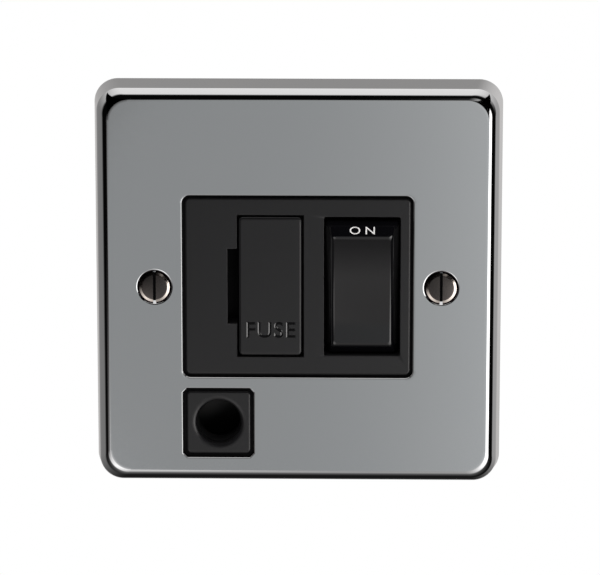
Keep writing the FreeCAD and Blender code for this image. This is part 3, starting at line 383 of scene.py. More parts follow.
for seat, hole, cup_end, cup in zip(seats, screw_circles(HOLE_RADIUS), cup_ends, cups):
    bend = [(grown(seat, SEAT_ROUND * wide), FACE_Y + SEAT_ROUND * deep) for wide, deep in SEAT_LIP]
    plate.band(bend + [(hole, cup_y), (cup_end, cup_y), (cup, SHEET_Y)])
plate_mesh = plate.mesh("plate_pressing", PLATE_SMOOTH_ANGLE)
piece("plate_pressing", plate_mesh, black_nickel, "housing", "black_nickel", "front_plate")

# Front moulding
# A satin black thermoset moulding behind the plate, with its raised panel in the plate's opening.
# Two collars run back from it to guide the fuse drawer and to hold the rocker's pins.
PANEL_SINK = 0.8 * MM
PANEL_Y = FACE_Y + PANEL_SINK
FLANGE_THICKNESS = 2.0 * MM
FLANGE_Y = SHEET_Y + FLANGE_THICKNESS
COLLAR_Y = -1.4 * MM
COLLAR_WALL = 1.2 * MM
PANEL_GAP = 0.45 * MM
PANEL_HALF = (WINDOW[0] - PANEL_GAP, WINDOW[1] - PANEL_GAP)
PANEL_CORNER = 1.2 * MM
PANEL_EDGE = 0.5 * MM
PANEL_FLATNESS = 0.5
PAINTED_SHADE_DEPTH = 0.36 * MM
OPENING_EDGE = 0.14 * MM
FLANGE_SIDE = 26.0 * MM
FLANGE_TOP = 22.5 * MM
FLANGE_BOTTOM = -20.5 * MM
CARRIER_X = -5.78 * MM
CARRIER_HALF = (6.6 * MM, 14.85 * MM)
CARRIER_GAP = 0.4 * MM
NOTCH_REACH = 2.4 * MM
NOTCH_HALF = 8.05 * MM
NOTCH_DEPTH = 5.2 * MM
NOTCH_FLOOR = PANEL_Y + NOTCH_DEPTH
ROCKER_X = 13.52 * MM
RECESS_HALF = (8.0 * MM, 14.9 * MM)
RECESS_CORNER = 0.35 * MM
RECESS_STEPS = 4

black_moulding = finish(
    "black moulding",
    dark=(0.0060, 0.0060, 0.0066),
    light=(0.0080, 0.0080, 0.0087),
    roughness=(0.17, 0.26),
    mottle=60.0,
    grain=1500.0,
    relief=0.08,
    Specular_IOR_Level=0.21,
)
# A matt copy of the black moulding at half its colour: painted shade for faces in recesses, slots
# and beside the rocker.
matt_painted_shade = finish(
    "matt moulding with painted shade",
    dark=(0.0030, 0.0030, 0.0034),
    light=(0.0045, 0.0045, 0.0050),
    roughness=(0.85, 1.0),
    mottle=60.0,
    grain=1500.0,
    Specular_IOR_Level=0.1,
)


def add_finish(mesh, material):
    """Give a mesh one more finish, and return the finish's number."""
    mesh.materials.append(material)
    return len(mesh.materials) - 1


def paint_shade_inside(mesh, depth):
    """Give the faces that lie deeper than a depth a matt finish at half the moulding's colour,
    painted shade in the recesses.
    """
    shaded_index = add_finish(mesh, matt_painted_shade)
    for polygon in mesh.polygons:
        if max(mesh.vertices[i].co.y for i in polygon.vertices) > depth:
            polygon.material_index = shaded_index
    return shaded_index


def rectangle(left, right, low, high):
    """A sharp rectangle, drawn from its upper right corner."""
    return [(right, high), (left, high), (left, low), (right, low)]


window_left = CARRIER_X - CARRIER_HALF[0] - CARRIER_GAP
window_right = CARRIER_X + CARRIER_HALF[0] + CARRIER_GAP
window_end = CARRIER_HALF[1] + CARRIER_GAP
notch_left = CARRIER_X - CARRIER_HALF[0] - NOTCH_REACH
carrier_window = rectangle(window_left, window_right, -window_end, window_end)
notched_window = [
    (window_right, window_end),
    (window_left, window_end),
    (window_left, NOTCH_HALF),
    (notch_left, NOTCH_HALF),
    (notch_left, -NOTCH_HALF),
    (window_left, -NOTCH_HALF),
    (window_left, -window_end),
    (window_right, -window_end),
]
recess_outline = rounded_rectangle(*RECESS_HALF, RECESS_CORNER, RECESS_STEPS, (ROCKER_X, 0.0))
panel_outline = rounded_rectangle(*PANEL_HALF, PANEL_CORNER)
flange_outline = rectangle(-FLANGE_SIDE, FLANGE_SIDE, FLANGE_BOTTOM, FLANGE_TOP)
notch_back = NOTCH_FLOOR + COLLAR_WALL
moulding = Shell()
panel_holes = [notched_window, recess_outline]
moulding.slab(
    panel_outline, panel_holes, PANEL_Y, FLANGE_Y, PANEL_EDGE, OPENING_EDGE, PANEL_FLATNESS
)
moulding.slab(flange_outline, [panel_outline], SHEET_Y, FLANGE_Y)
moulding.slab(grown(notched_window, COLLAR_WALL), [notched_window], FLANGE_Y, NOTCH_FLOOR)
moulding.slab(grown(notched_window, COLLAR_WALL), [carrier_window], NOTCH_FLOOR, notch_back)
moulding.slab(grown(carrier_window, COLLAR_WALL), [carrier_window], notch_back, COLLAR_Y)
moulding.slab(grown(recess_outline, COLLAR_WALL), [recess_outline], FLANGE_Y, COLLAR_Y)
moulding_mesh = moulding.mesh("front_moulding")
piece("front_moulding", moulding_mesh, black_moulding, "housing", "black_moulding", "insert_bezel")
# Faces deeper in the panel's openings are painted darker as shade.
paint_shade_inside(moulding_mesh, PANEL_Y + PAINTED_SHADE_DEPTH)

# Fixing screws
# Two slotted raised countersunk screws, turned from rod and plated dark, with a much lighter metal
# on the rim as painted highlight and the slot painted dark as shade.
# Each has a waist under its head, so that it stays captive, and a rolled thread behind.
HEAD_RADIUS = 3.3 * MM
HEAD_SINK = 0.35 * MM
CROWN_RADIUS = 2.7 * MM
CROWN_FRONT = 0.38 * MM
CROWN_RISE = 0.05 * MM
RIM_RADIUS = 3.2 * MM
RIM_FALL = 0.09 * MM
DOME_STEPS = 14
THREAD_START = 0.1 * MM
NECK_RADIUS = 1.4 * MM
NECK_END = 3.4 * MM
SHANK_RADIUS = 1.75 * MM
SCREW_LENGTH = 22.0 * MM
SCREW_TIP = 1.2 * MM
THREAD_PITCH = 0.6 * MM
THREAD_DEPTH = 0.22 * MM
THREAD_CREST = (0.4, 0.6)
SLOT_HALF = 0.3 * MM
SLOT_DEPTH = 1.0 * MM
SCREW_STEPS = 72

dark_nickel = finish(
    "dark nickel",
    dark=(0.030, 0.027, 0.026),
    light=(0.046, 0.041, 0.038),
    roughness=(0.12, 0.22),
    mottle=300.0,
    grain=2500.0,
    relief=0.1,
    Metallic=1.0,
)
rim_painted_highlight = finish(
    "rim with painted highlight",
    dark=(0.230, 0.205, 0.185),
    light=(0.270, 0.245, 0.225),
    roughness=(0.08, 0.14),
    mottle=300.0,
    Metallic=1.0,
)


def lathe(profile, middle):
    """A screw turned about a middle, from its radii and their depths behind the plate's face."""
    form = bmesh.new()
    rows = []
    for radius, depth in profile:
        y = FACE_Y + depth
        if radius > 0:
            around = circle(radius, SCREW_STEPS, (middle, 0.0))
            rows.append([form.verts.new((across, y, up)) for across, up in around])
        else:
            rows.append([form.verts.new((middle, y, 0.0))] * SCREW_STEPS)
    for near, far in zip(rows, rows[1:]):
        for i in range(SCREW_STEPS):
            j = (i + 1) % SCREW_STEPS
            form.faces.new(list(dict.fromkeys((near[i], near[j], far[j], far[i]))))
    bmesh.ops.recalc_face_normals(form, faces=form.faces)
    return form


def slotted(form, name, low, high):
    """Turn a form into a mesh with one box cut out of it."""
    blank = bpy.data.meshes.new(name + " blank")
    form.to_mesh(blank)
    form.free()
    holder = bpy.data.objects.new(name + " blank", blank)
    cutter_form = bmesh.new()
    bmesh.ops.create_cube(cutter_form, size=2.0)
    for corner in cutter_form.verts:
        spans = zip(low, high, corner.co)
        corner.co = [(start + end + (end - start) * side) / 2 for start, end, side in spans]
    cutter_mesh = bpy.data.meshes.new("cutter")
    cutter_form.to_mesh(cutter_mesh)
    cutter_form.free()
    cutter = bpy.data.objects.new("cutter", cutter_mesh)
    for thing in (holder, cutter):
        bpy.context.collection.objects.link(thing)
    cut = holder.modifiers.new("cut", "BOOLEAN")
    cut.object = cutter
    cut.solver = "EXACT"
    ready = holder.evaluated_get(bpy.context.evaluated_depsgraph_get())
    mesh = bpy.data.meshes.new_from_object(ready)
    for thing in (holder, cutter):
        bpy.data.objects.remove(thing)
    shaded = bmesh.new()
    shaded.from_mesh(mesh)
    shade(shaded, SMOOTH_ANGLE)
    shaded.to_mesh(mesh)
    shaded.free()
    mesh.name = name
    return mesh


def fixing_profile():
    """Dome, countersink, waist, thread and tip of a fixing screw."""
    ball = (CROWN_RADIUS**2 + CROWN_RISE**2) / (2 * CROWN_RISE)
    points = []
    for step in range(DOME_STEPS + 1):
        radius = CROWN_RADIUS * step / DOME_STEPS
        points.append((radius, ball - CROWN_FRONT - math.sqrt(ball**2 - radius**2)))
    points.append((RIM_RADIUS, CROWN_RISE + RIM_FALL - CROWN_FRONT))
    points.append((HEAD_RADIUS, HEAD_SINK))
    points += [(NECK_RADIUS, HEAD_SINK + HEAD_RADIUS - NECK_RADIUS), (NECK_RADIUS, NECK_END)]
    root = SHANK_RADIUS - THREAD_DEPTH
    turns = int((SCREW_LENGTH - SCREW_TIP - NECK_END) / THREAD_PITCH)
    for turn in range(turns):
        depth = NECK_END + THREAD_START + turn * THREAD_PITCH
        points.append((root, depth))
        points += [(SHANK_RADIUS, depth + share * THREAD_PITCH) for share in THREAD_CREST]
    points.append((root, SCREW_LENGTH - SCREW_TIP / 2))
    points += [(root - THREAD_DEPTH, SCREW_LENGTH), (0.0, SCREW_LENGTH)]
    return points


for name, side in (("left_fixing_screw", -1), ("right_fixing_screw", 1)):
    middle = side * FIXING_X
    slot_low = (middle - SLOT_HALF, FACE_Y - 2 * CROWN_FRONT, -2 * HEAD_RADIUS)
    slot_high = (middle + SLOT_HALF, FACE_Y - CROWN_FRONT + SLOT_DEPTH, 2 * HEAD_RADIUS)
    screw_mesh = slotted(lathe(fixing_profile(), middle), name + "_turned", slot_low, slot_high)
    piece(name + "_turned", screw_mesh, dark_nickel, "housing", "dark_nickel", name)
    # The rim takes the lighter metal, a painted highlight.
    rim = add_finish(screw_mesh, rim_painted_highlight)
    # The slot's faces take the dark matt moulding, painted shade in the slot.
    shaded_index = add_finish(screw_mesh, matt_painted_shade)
    for polygon in screw_mesh.polygons:
        away = math.hypot(polygon.center.x - middle, polygon.center.z)
        raised = polygon.center.y < FACE_Y - CROWN_FRONT + CROWN_RISE + RIM_FALL
        in_slot = abs(polygon.center.x - middle) <= SLOT_HALF
        if raised and away > CROWN_RADIUS:
            polygon.material_index = rim
        elif in_slot and not raised and polygon.center.y < FACE_Y + SLOT_DEPTH:
            polygon.material_index = shaded_index

# Fuse carrier
# A drawer of the same black moulding, flush with the panel, with a finger notch at its left.
# Its face is marked with the word for what it holds, cut a few hundredths of a millimetre deep.
CARRIER_CORNER = 0.9 * MM
CARRIER_FRONT = 1.6 * MM
CARRIER_EDGE = 0.5 * MM
CARRIER_FLATNESS = 0.4
CARRIER_DEPTH = 8.5 * MM
DRAWER_STEP = 0.4 * MM
DRAWER_WALL = 1.1 * MM
FUSE_RADIUS = 3.175 * MM
FUSE_FRONT_GAP = 0.5 * MM
CRADLE_RADIUS = 3.045 * MM
CRADLE_Z = 5.2 * MM
CRADLE_HALF = 0.8 * MM
CRADLE_GRIP = 1.9 * MM
CRADLE_STEPS = 24
LETTER_WALL = 0.19 * MM
LETTER_DEPTH = 0.034 * MM
LETTER_SWELLING = 0.07 * MM
LETTER_STEPS = 6
LETTER_SPACING = 1.1
UPRIGHT_TILT = 0.1
FUSE_WORD = (-5.64 * MM, -9.34 * MM)
FUSE_SIZE = (10.2 * MM, 3.3 * MM)

# A shinier copy of the dark matt moulding, given to the letters' upright walls as painted
# highlight.
letter_painted_highlight = finish(
    "letters with painted highlight",
    dark=(0.0030, 0.0030, 0.0034),
    light=(0.0045, 0.0045, 0.0050),
    roughness=(0.10, 0.16),
    mottle=300.0,
    Specular_IOR_Level=0.5,
)


def word_outlines(text, size, middle_at, spacing, swelling):
    """The outlines of a word's letters in plan, fitted to its size at a middle point."""
    curve = bpy.data.curves.new("word", "FONT")
    curve.body = text
    curve.space_character = spacing
    curve.resolution_u = LETTER_STEPS
    curve.fill_mode = "NONE"
    holder = bpy.data.objects.new("word", curve)
    bpy.context.collection.objects.link(holder)
    ready = holder.evaluated_get(bpy.context.evaluated_depsgraph_get())
    mesh = bpy.data.meshes.new_from_object(ready)
    bpy.data.objects.remove(holder)
    neighbours = {v.index: [] for v in mesh.vertices}
    for first, second in (edge.vertices for edge in mesh.edges):
        neighbours[first].append(second)
        neighbours[second].append(first)
    low = [min(v.co[i] for v in mesh.vertices) for i in range(2)]
    high = [max(v.co[i] for v in mesh.vertices) for i in range(2)]
    middle = [(low[i] + high[i]) / 2 for i in range(2)]
    outlines = []
    while neighbours:
        here = next(iter(neighbours))
        points = []
        while here is not None:
            spot = mesh.vertices[here].co
            shares = [(spot[i] - middle[i]) / (high[i] - low[i]) for i in range(2)]
            points.append(tuple(middle_at[i] + size[i] * shares[i] for i in range(2)))
            here = next((n for n in neighbours.pop(here) if n in neighbours), None)
        turns = zip(points, points[1:] + points[:1])
        if sum(near[0] * far[1] - far[0] * near[1] for near, far in turns) < 0:
            points.reverse()
        outlines.append(grown(points, swelling))
    bpy.data.meshes.remove(mesh)
    return outlines


def in_word(spot):
    """Whether a point belongs to the word cut in the carrier's face."""
    in_width = abs(spot.x - FUSE_WORD[0]) < FUSE_SIZE[0] / 2 + LETTER_WALL
    in_height = abs(spot.z - FUSE_WORD[1]) < FUSE_SIZE[1] / 2 + LETTER_WALL
    return in_width and in_height and spot.y < PANEL_Y + 2 * LETTER_DEPTH


def seen_from_above(across, depth, height):
    """Where a point of a plan view lies."""
    return (across, depth, height)


carrier = Shell()
carrier_face = rounded_rectangle(*CARRIER_HALF, CARRIER_CORNER, centre=(CARRIER_X, 0.0))
carrier_back = PANEL_Y + CARRIER_FRONT
drawer_side = CARRIER_HALF[0] - DRAWER_STEP
drawer_end = CARRIER_HALF[1] - DRAWER_STEP
drawer = rectangle(CARRIER_X - drawer_side, CARRIER_X + drawer_side, -drawer_end, drawer_end)
drawer_hollow = grown(drawer, -DRAWER_WALL)
letters = word_outlines("FUSE", FUSE_SIZE, FUSE_WORD, LETTER_SPACING, LETTER_SWELLING)
edge_rings = soft_edge(carrier_face, PANEL_Y, CARRIER_EDGE, True, flatness=CARRIER_FLATNESS)
carrier.region(edge_rings[0][0], letters, PANEL_Y)
for letter in letters:
    letter_floor = grown(letter, -LETTER_WALL)
    carrier.band([(letter, PANEL_Y), (letter_floor, PANEL_Y + LETTER_DEPTH)])
    carrier.region(letter_floor, [], PANEL_Y + LETTER_DEPTH)
carrier.band(edge_rings + [(carrier_face, carrier_back)])
carrier.region(carrier_face, [], carrier_back)
carrier.slab(drawer, [drawer_hollow], carrier_back, PANEL_Y + CARRIER_DEPTH)
fuse_y = carrier_back + FUSE_FRONT_GAP + FUSE_RADIUS
cradle_side = drawer_side - DRAWER_WALL
cradle_top = fuse_y + CRADLE_GRIP
grip = []
for step in range(CRADLE_STEPS + 1):
    angle = math.pi * (1 + step / CRADLE_STEPS)
    reach = CRADLE_RADIUS * math.cos(angle)
    grip.append((CARRIER_X - reach, fuse_y + CRADLE_RADIUS * math.sin(angle)))
cradle = [(CARRIER_X + cradle_side, carrier_back), (CARRIER_X + cradle_side, cradle_top)]
cradle += [(CARRIER_X + CRADLE_RADIUS, cradle_top), *grip, (CARRIER_X - CRADLE_RADIUS, cradle_top)]
cradle += [(CARRIER_X - cradle_side, cradle_top), (CARRIER_X - cradle_side, carrier_back)]
carrier.to_space = seen_from_above
for level in (-1, 1):
    carrier.slab(cradle, [], level * CRADLE_Z - CRADLE_HALF, level * CRADLE_Z + CRADLE_HALF)
carrier_mesh = carrier.mesh("carrier_moulding")
piece(
    "carrier_moulding",
    carrier_mesh,
    black_moulding,
    "fuse_drawer",
    "black_moulding",
    "fuse_carrier",
)
# Faces deeper in the drawer are painted darker as shade.
carrier_shaded = paint_shade_inside(carrier_mesh, PANEL_Y + PAINTED_SHADE_DEPTH)
carrier_highlight = add_finish(carrier_mesh, letter_painted_highlight)
# In the cut word, the floor and level walls take the dark matt copy as painted shade, the upright
# walls the shinier copy as painted highlight.
for polygon in carrier_mesh.polygons:
    if in_word(polygon.center) and polygon.center.y > PANEL_Y + LETTER_DEPTH / 4:
        upright = abs(polygon.normal.x) > UPRIGHT_TILT
        polygon.material_index = carrier_highlight if upright else carrier_shaded
for edge in carrier_mesh.edges:
    if all(in_word(carrier_mesh.vertices[index].co) for index in edge.vertices):
        edge.use_edge_sharp = True

# Rocker
# A glossy black thermoplastic rocker with a dished face, drafted flanks and two moulded pins.
# It is shown switched on, eight degrees over about the pins.
PIVOT_Y = -3.6 * MM
ROCKER_TILT = math.radians(8.0)
ROCKER_FACE = (6.6 * MM, 12.6 * MM)
LIP_ROUND = (1.2 * MM, 2.0 * MM)
ROCKER_KNEE = (6.94 * MM, 14.1 * MM)
ROCKER_BASE = (7.7 * MM, 14.45 * MM)
ROCKER_FRONT = -5.6 * MM
ROCKER_KNEE_Y = -4.45 * MM
ROCKER_SHOULDER = -2.0 * MM
ROCKER_BACK = 1.0 * MM
ROCKER_DISH = 1.0 * MM
ROCKER_EDGE = 0.32 * MM
EDGE_STEPS = 8
ROCKER_CORNER = 0.65 * MM
CORNER_POINTS = 6
ROCKER_WALL = 1.3 * MM
END_WALL = 2.6 * MM
PIN_RADIUS = 1.2 * MM
PIN_END = 8.85 * MM
PIN_STEPS = 40
GUIDE_OUTSIDE = 2.3 * MM
GUIDE_INSIDE = 1.6 * MM
GUIDE_BACK = 3.0 * MM
POLE = 3.6 * MM
DISH_STEPS = 24
ROCKER_SMOOTH_ANGLE = 35.0

gloss_black = finish(
    "gloss black",
    dark=(0.0020, 0.0020, 0.0026),
    light=(0.0028, 0.0028, 0.0036),
    roughness=(0.05, 0.09),
    mottle=40.0,
    grain=400.0,
    relief=0.02,
    Specular_IOR_Level=0.31,
)


def on_rocker(across, up, depth):
    """Where a point of the rocker lies in its on position, from its own pivot."""
    y = depth * math.cos(ROCKER_TILT) - up * math.sin(ROCKER_TILT)
    z = depth * math.sin(ROCKER_TILT) + up * math.cos(ROCKER_TILT)
    return (ROCKER_X + across, PIVOT_Y + y, z)


def on_pin(depth, up, along):
    """Where a point of a pivot pin lies, drawn from its end."""
    return on_rocker(along, up, depth)


def dish_depth(up):
    """Depth of the dished face at a height."""
    bow = (ROCKER_FACE[1] ** 2 + ROCKER_DISH**2) / (2 * ROCKER_DISH)
    return ROCKER_FRONT + ROCKER_DISH - bow + math.sqrt(bow**2 - up**2)


class RockerShell(Shell):
    """A shell whose rings may follow the dish."""

    def ring(self, half_width, half_height, depth_of):
        """A row of points round the rocker, with its long sides divided."""
        corners = rounded_rectangle(half_width, half_height, ROCKER_CORNER, CORNER_POINTS)
        outline = []
        for index, (across, up) in enumerate(corners):
            outline.append((across, up))
            next_across, next_up = corners[(index + 1) % len(corners)]
            if abs(next_up - up) > half_height:
                for step in range(1, DISH_STEPS):
                    share = step / DISH_STEPS
                    further = across + (next_across - across) * share
                    outline.append((further, up + (next_up - up) * share))
        return [self.form.verts.new(on_rocker(a, u, depth_of(u))) for a, u in outline]

    def close_across(self, row):
        """Fill a row with strips that run from side to side."""

        def height(spot):
            return spot.co.z * math.cos(ROCKER_TILT) - spot.co.y * math.sin(ROCKER_TILT)

        ordered = sorted(row, key=height)
        pairs = zip(ordered[::2], ordered[1::2])
        pairs = [sorted(pair, key=lambda spot: spot.co.x) for pair in pairs]
        for low, high in zip(pairs, pairs[1:]):
            self.form.faces.new((low[0], low[1], high[1], high[0]))


rocker = RockerShell(on_rocker)
rows = []
for step in range(EDGE_STEPS + 1):
    drop = ROCKER_EDGE * (step / EDGE_STEPS) ** 2
    half = []
    for size, bend in zip(ROCKER_FACE, LIP_ROUND):
        reach = math.sqrt(bend**2 - (bend - ROCKER_EDGE) ** 2)
        half.append(size - reach + math.sqrt(bend**2 - (bend - drop) ** 2))
    rows.append(rocker.ring(*half, lambda up, drop=drop: dish_depth(up) + drop))
rows.append(rocker.ring(*ROCKER_KNEE, lambda up: ROCKER_KNEE_Y))
inner = [size - ROCKER_WALL for size in ROCKER_BASE]
ceiling = ROCKER_FRONT + ROCKER_DISH + ROCKER_WALL
rows.append(rocker.ring(*ROCKER_BASE, lambda up: ROCKER_SHOULDER))
rows.append(rocker.ring(*ROCKER_BASE, lambda up: ROCKER_BACK))
rows.append(rocker.ring(*inner, lambda up: ROCKER_BACK))
rows.append(rocker.ring(*inner, lambda up: ROCKER_SHOULDER + ROCKER_WALL))
roof = (ROCKER_FACE[0] - ROCKER_WALL, ROCKER_FACE[1] - END_WALL)
rows.append(rocker.ring(*roof, lambda up: ceiling))
rocker.join(rows)
rocker.close_across(rows[0])
rocker.close_across(rows[-1])
for side in (-1, 1):
    guide = circle(GUIDE_OUTSIDE, PIN_STEPS, (side * POLE, 0.0))
    hollow = circle(GUIDE_INSIDE, PIN_STEPS, (side * POLE, 0.0))
    rocker.slab(guide, [hollow], ceiling, GUIDE_BACK)
rocker.to_space = on_pin
pin = circle(PIN_RADIUS, PIN_STEPS)
for side in (-1, 1):
    rocker.slab(pin, [], side * PIN_END, side * (ROCKER_BASE[0] - ROCKER_WALL / 2))
rocker_mesh = rocker.mesh("rocker_moulding", ROCKER_SMOOTH_ANGLE)
piece("rocker_moulding", rocker_mesh, gloss_black, "switch_rocker", "gloss_black", "rocker")
# The flanks beside the face take the dark matt moulding, painted shade in the recess.
rocker_shaded = add_finish(rocker_mesh, matt_painted_shade)
for polygon in rocker_mesh.polygons:
    beside_face = abs(polygon.center.x - ROCKER_X) > ROCKER_FACE[0]
    if beside_face and abs(polygon.center.z) < ROCKER_FACE[1]:
        polygon.material_index = rocker_shaded

# Printed word on the rocker
# White ink on the rocker's upper end face, laid on after moulding, three hundredths thick.
# It shows in full only when the switch is on.
ON_SIZE = (5.25 * MM, 1.6 * MM)
ON_RAISE = 0.03 * MM
ON_SHARE = 0.5
ON_SPACING = 1.5

white_ink = finish(
    "white ink",
    dark=(0.76, 0.76, 0.75),
    light=(0.84, 0.84, 0.83),
    roughness=(0.35, 0.5),
    mottle=500.0,
)
end_near = Vector(on_rocker(0.0, ROCKER_FACE[1], dish_depth(ROCKER_FACE[1]) + ROCKER_EDGE))
end_far = Vector(on_rocker(0.0, ROCKER_KNEE[1], ROCKER_KNEE_Y))
end_up = (end_far - end_near).normalized()
on_spot = end_near.lerp(end_far, ON_SHARE)
end_out = Vector((1, 0, 0)).cross(end_up)


def on_rocker_end(across, up, depth):
    """Where a point of the print on the rocker's end lies."""
    return on_spot + Vector((across, 0, 0)) + end_up * up + end_out * depth


print_layer = Shell(on_rocker_end)
print_outlines = word_outlines("ON", ON_SIZE, (0.0, 0.0), ON_SPACING, 0.0)
print_layer.region(print_outlines[0], print_outlines[1:], ON_RAISE)
print_layer.region(print_outlines[0], print_outlines[1:], 0.0)
for outline in print_outlines:
    print_layer.band([(outline, ON_RAISE), (outline, 0.0)])
on_word = print_layer.mesh("on_word")
piece("on_word", on_word, white_ink, "switch_rocker", "white_nylon")

# Flex outlet bush
# A black moulding in the plate's lower opening, with a rounded and stepped hole for a cord.
# Its flange bears on the back of the plate and its tube reaches towards the cord clamp.
BUSH_SINK = 0.8 * MM
BUSH_Y = FACE_Y + BUSH_SINK
BUSH_HALF = 6.85 * MM
BUSH_CORNER = 1.0 * MM
BUSH_EDGE = 0.5 * MM
BUSH_FLATNESS = 0.5
BUSH_BORE = 4.8 * MM
BORE_MOUTH = [(0.6 * MM, 0.0), (0.3 * MM, 0.05 * MM), (0.08 * MM, 0.13 * MM), (0.0, 0.25 * MM)]
STEP_DEPTH = 1.8 * MM
STEP = 0.35 * MM
BUSH_FLANGE = 8.7 * MM
BUSH_TUBE = 6.4 * MM
BUSH_BACK = -1.5 * MM

bush = Shell()
bush_face = rounded_rectangle(BUSH_HALF, BUSH_HALF, BUSH_CORNER, centre=OUTLET)
bore = circle(BUSH_BORE, centre=OUTLET)
tube = circle(BUSH_TUBE, centre=OUTLET)
bush_flange = rectangle(
    OUTLET.x - BUSH_FLANGE, OUTLET.x + BUSH_FLANGE, OUTLET.y - BUSH_FLANGE, OUTLET.y + BUSH_FLANGE
)
mouth_border = grown(bore, BORE_MOUTH[0][0] + FLAT_STRIP)
bush.region(grown(bush_face, -BUSH_EDGE), [mouth_border], BUSH_Y)
bush_rings = soft_edge(bush_face, BUSH_Y, BUSH_EDGE, True, flatness=BUSH_FLATNESS)
bush.band(bush_rings + [(bush_face, SHEET_Y)])
bush.region(bush_flange, [bush_face], SHEET_Y)
bush.band([(bush_flange, SHEET_Y), (bush_flange, FLANGE_Y)])
bush.region(bush_flange, [tube], FLANGE_Y)
bush.band([(tube, FLANGE_Y), (tube, BUSH_BACK)])
inner_bore = grown(bore, -STEP)
bush.region(tube, [inner_bore], BUSH_BACK)
step_y = BUSH_Y + STEP_DEPTH
mouth = [(mouth_border, BUSH_Y)]
mouth += [(grown(bore, wide), BUSH_Y + deep) for wide, deep in BORE_MOUTH]
mouth += [(bore, step_y), (inner_bore, step_y), (inner_bore, BUSH_BACK)]
bush.band(mouth)
bush_mesh = bush.mesh("bush_moulding")
piece("bush_moulding", bush_mesh, black_moulding, "housing", "black_moulding", "outlet_bush")
# Faces deeper in the bore are painted darker as shade.
paint_shade_inside(bush_mesh, BUSH_Y + PAINTED_SHADE_DEPTH)

# Retaining strap
# A pressed steel frame, zinc plated, whose four feet are welded to the back of the plate.
# It holds the front moulding by its flange and takes the housing screws and the earth terminal.
STEEL_EDGE = 0.12 * MM
EDGE_SEGMENTS = 2
EDGE_ANGLE = math.radians(40)

zinc_steel = finish(
    "zinc plated steel",
    dark=(0.48, 0.49, 0.50),
    light=(0.60, 0.61, 0.62),
    roughness=(0.28, 0.42),
    mottle=180.0,
    grain=1200.0,
    relief=0.15,
    Metallic=1.0,
)


def dress(material, edge, *names):
    """Give parts of the frame their finish and a small radius on their edges."""
    for name in names:
        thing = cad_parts[name]
        thing.data.materials.clear()
        thing.data.materials.append(material)
        for polygon in thing.data.polygons:
            polygon.material_index = 0
        if edge:
            softened = thing.modifiers.new("soft edges", "BEVEL")
            softened.width = edge
            softened.segments = EDGE_SEGMENTS
            softened.limit_method = "ANGLE"
            softened.angle_limit = EDGE_ANGLE
            softened.harden_normals = True


dress(zinc_steel, STEEL_EDGE, "retaining_strap")

# Cartridge fuse
# A white ceramic tube with a plated brass cap pressed on each end, held in the drawer's cradles.
# It is drawn out with the drawer, and its caps leave the clips behind.
ceramic = finish(
    "ceramic",
    dark=(0.74, 0.72, 0.67),
    light=(0.82, 0.80, 0.75),
    roughness=(0.22, 0.36),
    mottle=400.0,
    relief=0.08,
)
cap_metal = finish(
    "plated cap",
    dark=(0.62, 0.60, 0.56),
    light=(0.74, 0.72, 0.68),
    roughness=(0.14, 0.26),
    mottle=350.0,
    grain=1800.0,
    relief=0.08,
    Metallic=1.0,
)
dress(ceramic, 0.0, "fuse_tube")
dress(cap_metal, 0.0, "fuse_end_caps")

# Fuse clips, contacts and bridges
# Folded strips: the clips and arms of springy bronze, the fixed contacts and bridges of brass.
# They carry the current from the supply terminals through the switch and the fuse to the load.
STRIP_EDGE = 0.06 * MM

spring_bronze = finish(
    "spring bronze",
    dark=(0.55, 0.34, 0.17),
    light=(0.68, 0.44, 0.24),
    roughness=(0.22, 0.36),
    mottle=260.0,
    grain=1500.0,
    relief=0.1,
    Metallic=1.0,
)
brass = finish(
    "brass",
    dark=(0.62, 0.45, 0.19),
    light=(0.76, 0.58, 0.28),
    roughness=(0.20, 0.34),
    mottle=240.0,
    grain=1500.0,
    relief=0.1,
    Metallic=1.0,
)
dress(spring_bronze, STRIP_EDGE, "upper_fuse_clip", "lower_fuse_clip")
dress(spring_bronze, STRIP_EDGE, "live_contact_arm", "neutral_contact_arm")
dress(brass, STRIP_EDGE, "live_bridge", "neutral_bridge")
dress(brass, STRIP_EDGE, "live_fixed_contact", "neutral_fixed_contact")

# Spring plungers
# A natural nylon plunger slides in each guide of the rocker, pushed by a wound steel spring.
# Each rides along its contact arm and snaps it over when the rocker passes its middle.
nylon = finish(
    "natural nylon",
    dark=(0.70, 0.69, 0.64),
    light=(0.78, 0.77, 0.72),
    roughness=(0.36, 0.5),
    mottle=300.0,
    relief=0.1,
    Subsurface_Weight=0.1,
)
spring_steel = finish(
    "spring steel",
    dark=(0.42, 0.42, 0.42),
    light=(0.55, 0.55, 0.54),
    roughness=(0.18, 0.3),
    mottle=500.0,
    Metallic=1.0,
)
dress(nylon, 0.0, "live_plunger", "neutral_plunger")
dress(spring_steel, 0.0, "live_spring", "neutral_spring")

# Rear housing
# A deep black moulding behind the strap, with wells for the switch, the fuse and the terminals.
# Its apron carries the flex outlet and the two posts of the cord clamp.
HOUSING_EDGE = 0.25 * MM

rear_moulding = finish(
    "rear moulding",
    dark=(0.0055, 0.0055, 0.0060),
    light=(0.0085, 0.0085, 0.0090),
    roughness=(0.45, 0.62),
    mottle=60.0,
    grain=1500.0,
    relief=0.2,
    Specular_IOR_Level=0.3,
)
dress(rear_moulding, HOUSING_EDGE, "base_moulding")

# Terminals and screws
# Brass blocks bored for the wires, each with a slotted pinching screw, reached from behind.
# Four plated steel screws hold the housing to the strap, and two more the bar of the clamp.
BLOCK_EDGE = 0.2 * MM
SMALL_EDGE = 0.08 * MM

dress(brass, BLOCK_EDGE, "supply_live_terminal", "supply_neutral_terminal")
dress(brass, BLOCK_EDGE, "load_live_terminal", "load_neutral_terminal", "earth_terminal")
dress(zinc_steel, SMALL_EDGE, "terminal_screws", "housing_screws", "cord_clamp_screws")
dress(black_moulding, BLOCK_EDGE, "cord_clamp_bar")

